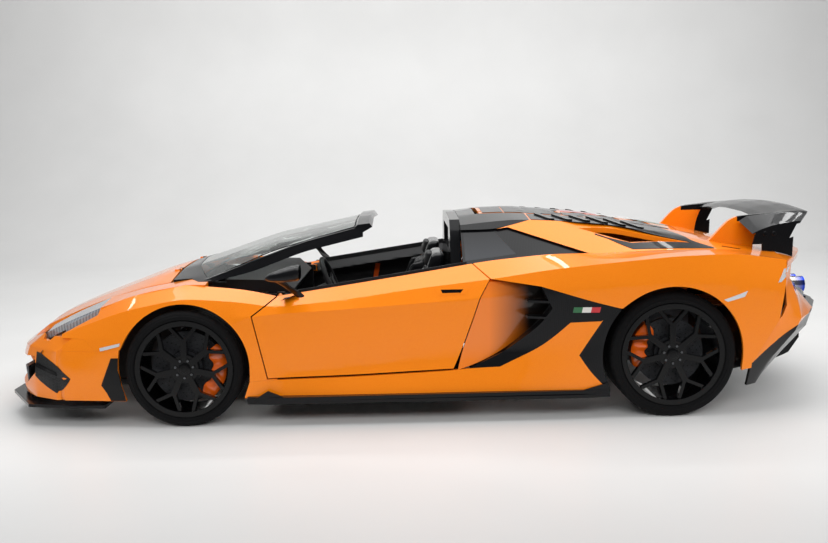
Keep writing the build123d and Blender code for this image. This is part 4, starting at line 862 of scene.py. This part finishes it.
def caliper(axle, way, radius, start, sweep):
    """One casting: a U in section (distance from the axle, depth), carried round the disc's edge through an
    angle. Its inner edge and outer face swell as 0.5 + 0.5 cos 3 pi t over three bores and its ends are cut
    back."""
    size = AXLES[axle]
    disc = size["disc"]
    t = np.linspace(-1, 1, CALIPER_SECTIONS)[:, None]
    swell = 0.5 + 0.5 * np.cos(3 * np.pi * t)
    cut = np.sqrt(np.clip((1 - np.abs(t)) / END_CUT, 0, 1))
    low, high = radius - 60 + 12 * (1 - swell) + 16 * (1 - cut), radius + 26 - 14 * (1 - cut)
    face, full = disc + 22 + 8 * swell * cut, np.ones_like(t)
    edge, inner, outer, back = (full * depth for depth in (disc + 6, disc - 40, disc - 52, disc - 64))
    r = np.hstack([low, low, low + 12, high - 18, high, high, high - 14, low, low, full * radius + 6,
                   full * radius + 6])
    out = np.hstack([edge, face - 6, face, face, face - 12, outer, back, back, inner, inner, edge])
    angle = np.radians(start + sweep / 2 * t)
    points = metres(np.stack([size["x"] + r * np.cos(angle), way * size["track"] + way * out,
                              size["radius"] + r * np.sin(angle)], -1)).reshape(-1, 3)
    a, d, c, b = grid_quads(*r.shape, closed=True).T
    cap = np.array([(0, 1, 2), (0, 2, 3), (0, 3, 10), (3, 4, 10), (10, 4, 5), (10, 5, 9), (9, 5, 6),
                    (9, 6, 7), (9, 7, 8)])
    faces = np.vstack([np.stack([a, b, c], -1), np.stack([a, c, d], -1), cap,
                       cap[:, ::-1] + len(points) - r.shape[1]])
    inside = points - points.mean(0)
    if (inside[faces[:, 0]] * np.cross(inside[faces[:, 1]], inside[faces[:, 2]])).sum() < 0:
        faces = faces[:, ::-1]
    return points, faces


def fit(name, points, faces, body, node):
    """A casting on its body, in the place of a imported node."""
    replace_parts(place_mesh(name, points, faces.tolist(), brake, body, fold=40), node)


for side, way in SIDES:
    fit(f"caliper_casting_front_{side}", *caliper("front", way, 198, -12, 96), f"knuckle_{side}",
        f"caliper_front_{side}")
points, faces = zip(*(caliper("rear", way, 190, 165, 78) for side, way in SIDES))
fit("caliper_castings_rear", np.vstack(points), np.vstack([faces[0], faces[1] + len(points[0])]), "chassis",
    "rear_calipers")

# ---- Studio ------------------------------------------------------------------------------------------
# A seamless paper sweep, pale grey, lit by a long soft box over the car, weaker ones at its ends and behind
# the camera, and lamps that wash the paper behind it.
FLOOR_START, FLOOR_LENGTH, BEND_RADIUS, WALL_HEIGHT, PAPER_HALF_WIDTH = -25, 32, 4, 22, 30
# painted shade: the paper is coloured darker towards the viewer, as if less light fell there
SHADE_START, SHADE_END = -1.2, -3.8  # the paper darkens from the one to the other, towards the viewer
SKY = 0.22
paper = finish_of("studio paper", "#C4C4C3", Roughness=0.45)
marks = patterned(paper, "ShaderNodeTexNoise", Scale=1.2, Detail=4.0)
place = add(paper, "ShaderNodeTexCoord")
axes = add(paper, "ShaderNodeSeparateXYZ", [("Vector", place, "Object")])
# painted shade: the paper's tone runs from pale to darker grey along y, towards the viewer
front = add(paper, "ShaderNodeMapRange", [("Value", axes, "Y")], From_Min=SHADE_START, From_Max=SHADE_END)
tone = blend(paper, front, "Result", "#DADAD9", "#A2A2A2")
paper.node_tree.links.new(blend(paper, marks, "Fac", "#D6D6D5", "#DFDFDE").outputs[2], tone.inputs[6])
feed(paper, tone, 2, "Base Color")
step, way = np.meshgrid(np.linspace(0, 3, 61), np.linspace(-PAPER_HALF_WIDTH, PAPER_HALF_WIDTH, 3))
bend = np.clip(step - 1, 0, 1) * np.pi / 2
sweep = np.dstack([way, FLOOR_START + np.clip(step, 0, 1) * FLOOR_LENGTH + BEND_RADIUS * np.sin(bend),
                   BEND_RADIUS * (1 - np.cos(bend)) + np.clip(step - 2, 0, 1) * WALL_HEIGHT])
place_mesh("studio_sweep", sweep, grid_quads(*step.shape)[:, ::-1].tolist(), paper, None)
# each lamp's place, angles, size and power in watts
for name, at, turn, size, power in (
        ("overhead_box", (0.3, -0.2, 4.6), (0, 0, 0), (8.5, 4.2), 270),
        ("nose_box", (-7.5, -3.0, 4.0), (55, 0, -66), (5.0, 3.0), 110),
        ("camera_box", (1.0, -8.0, 5.0), (56, 0, 4), (9.0, 2.5), 450),
        ("tail_box", (7.5, -2.0, 4.0), (55, 0, 76), (5.0, 3.0), 120),
        ("wall_wash", (0, 5.0, 7.5), (-28, 0, 180), (14.0, 1.5), 620)):
    lamp = bpy.data.lights.new(name, "AREA")
    lamp.shape, lamp.size, lamp.size_y, lamp.energy = "RECTANGLE", *size, power
    box = bpy.data.objects.new(name, lamp)
    box.location, box.rotation_euler = at, [math.radians(a) for a in turn]
    box.visible_glossy = name in ("overhead_box", "wall_wash")
    bpy.context.scene.collection.objects.link(box)
world = bpy.data.worlds.new("studio")
world.use_nodes = True
sky = world.node_tree.nodes["Background"].inputs
sky["Color"].default_value, sky["Strength"].default_value = linear("#F1F2F4"), SKY
bpy.context.scene.world = world
bpy.context.scene.view_settings.view_transform = "Standard"
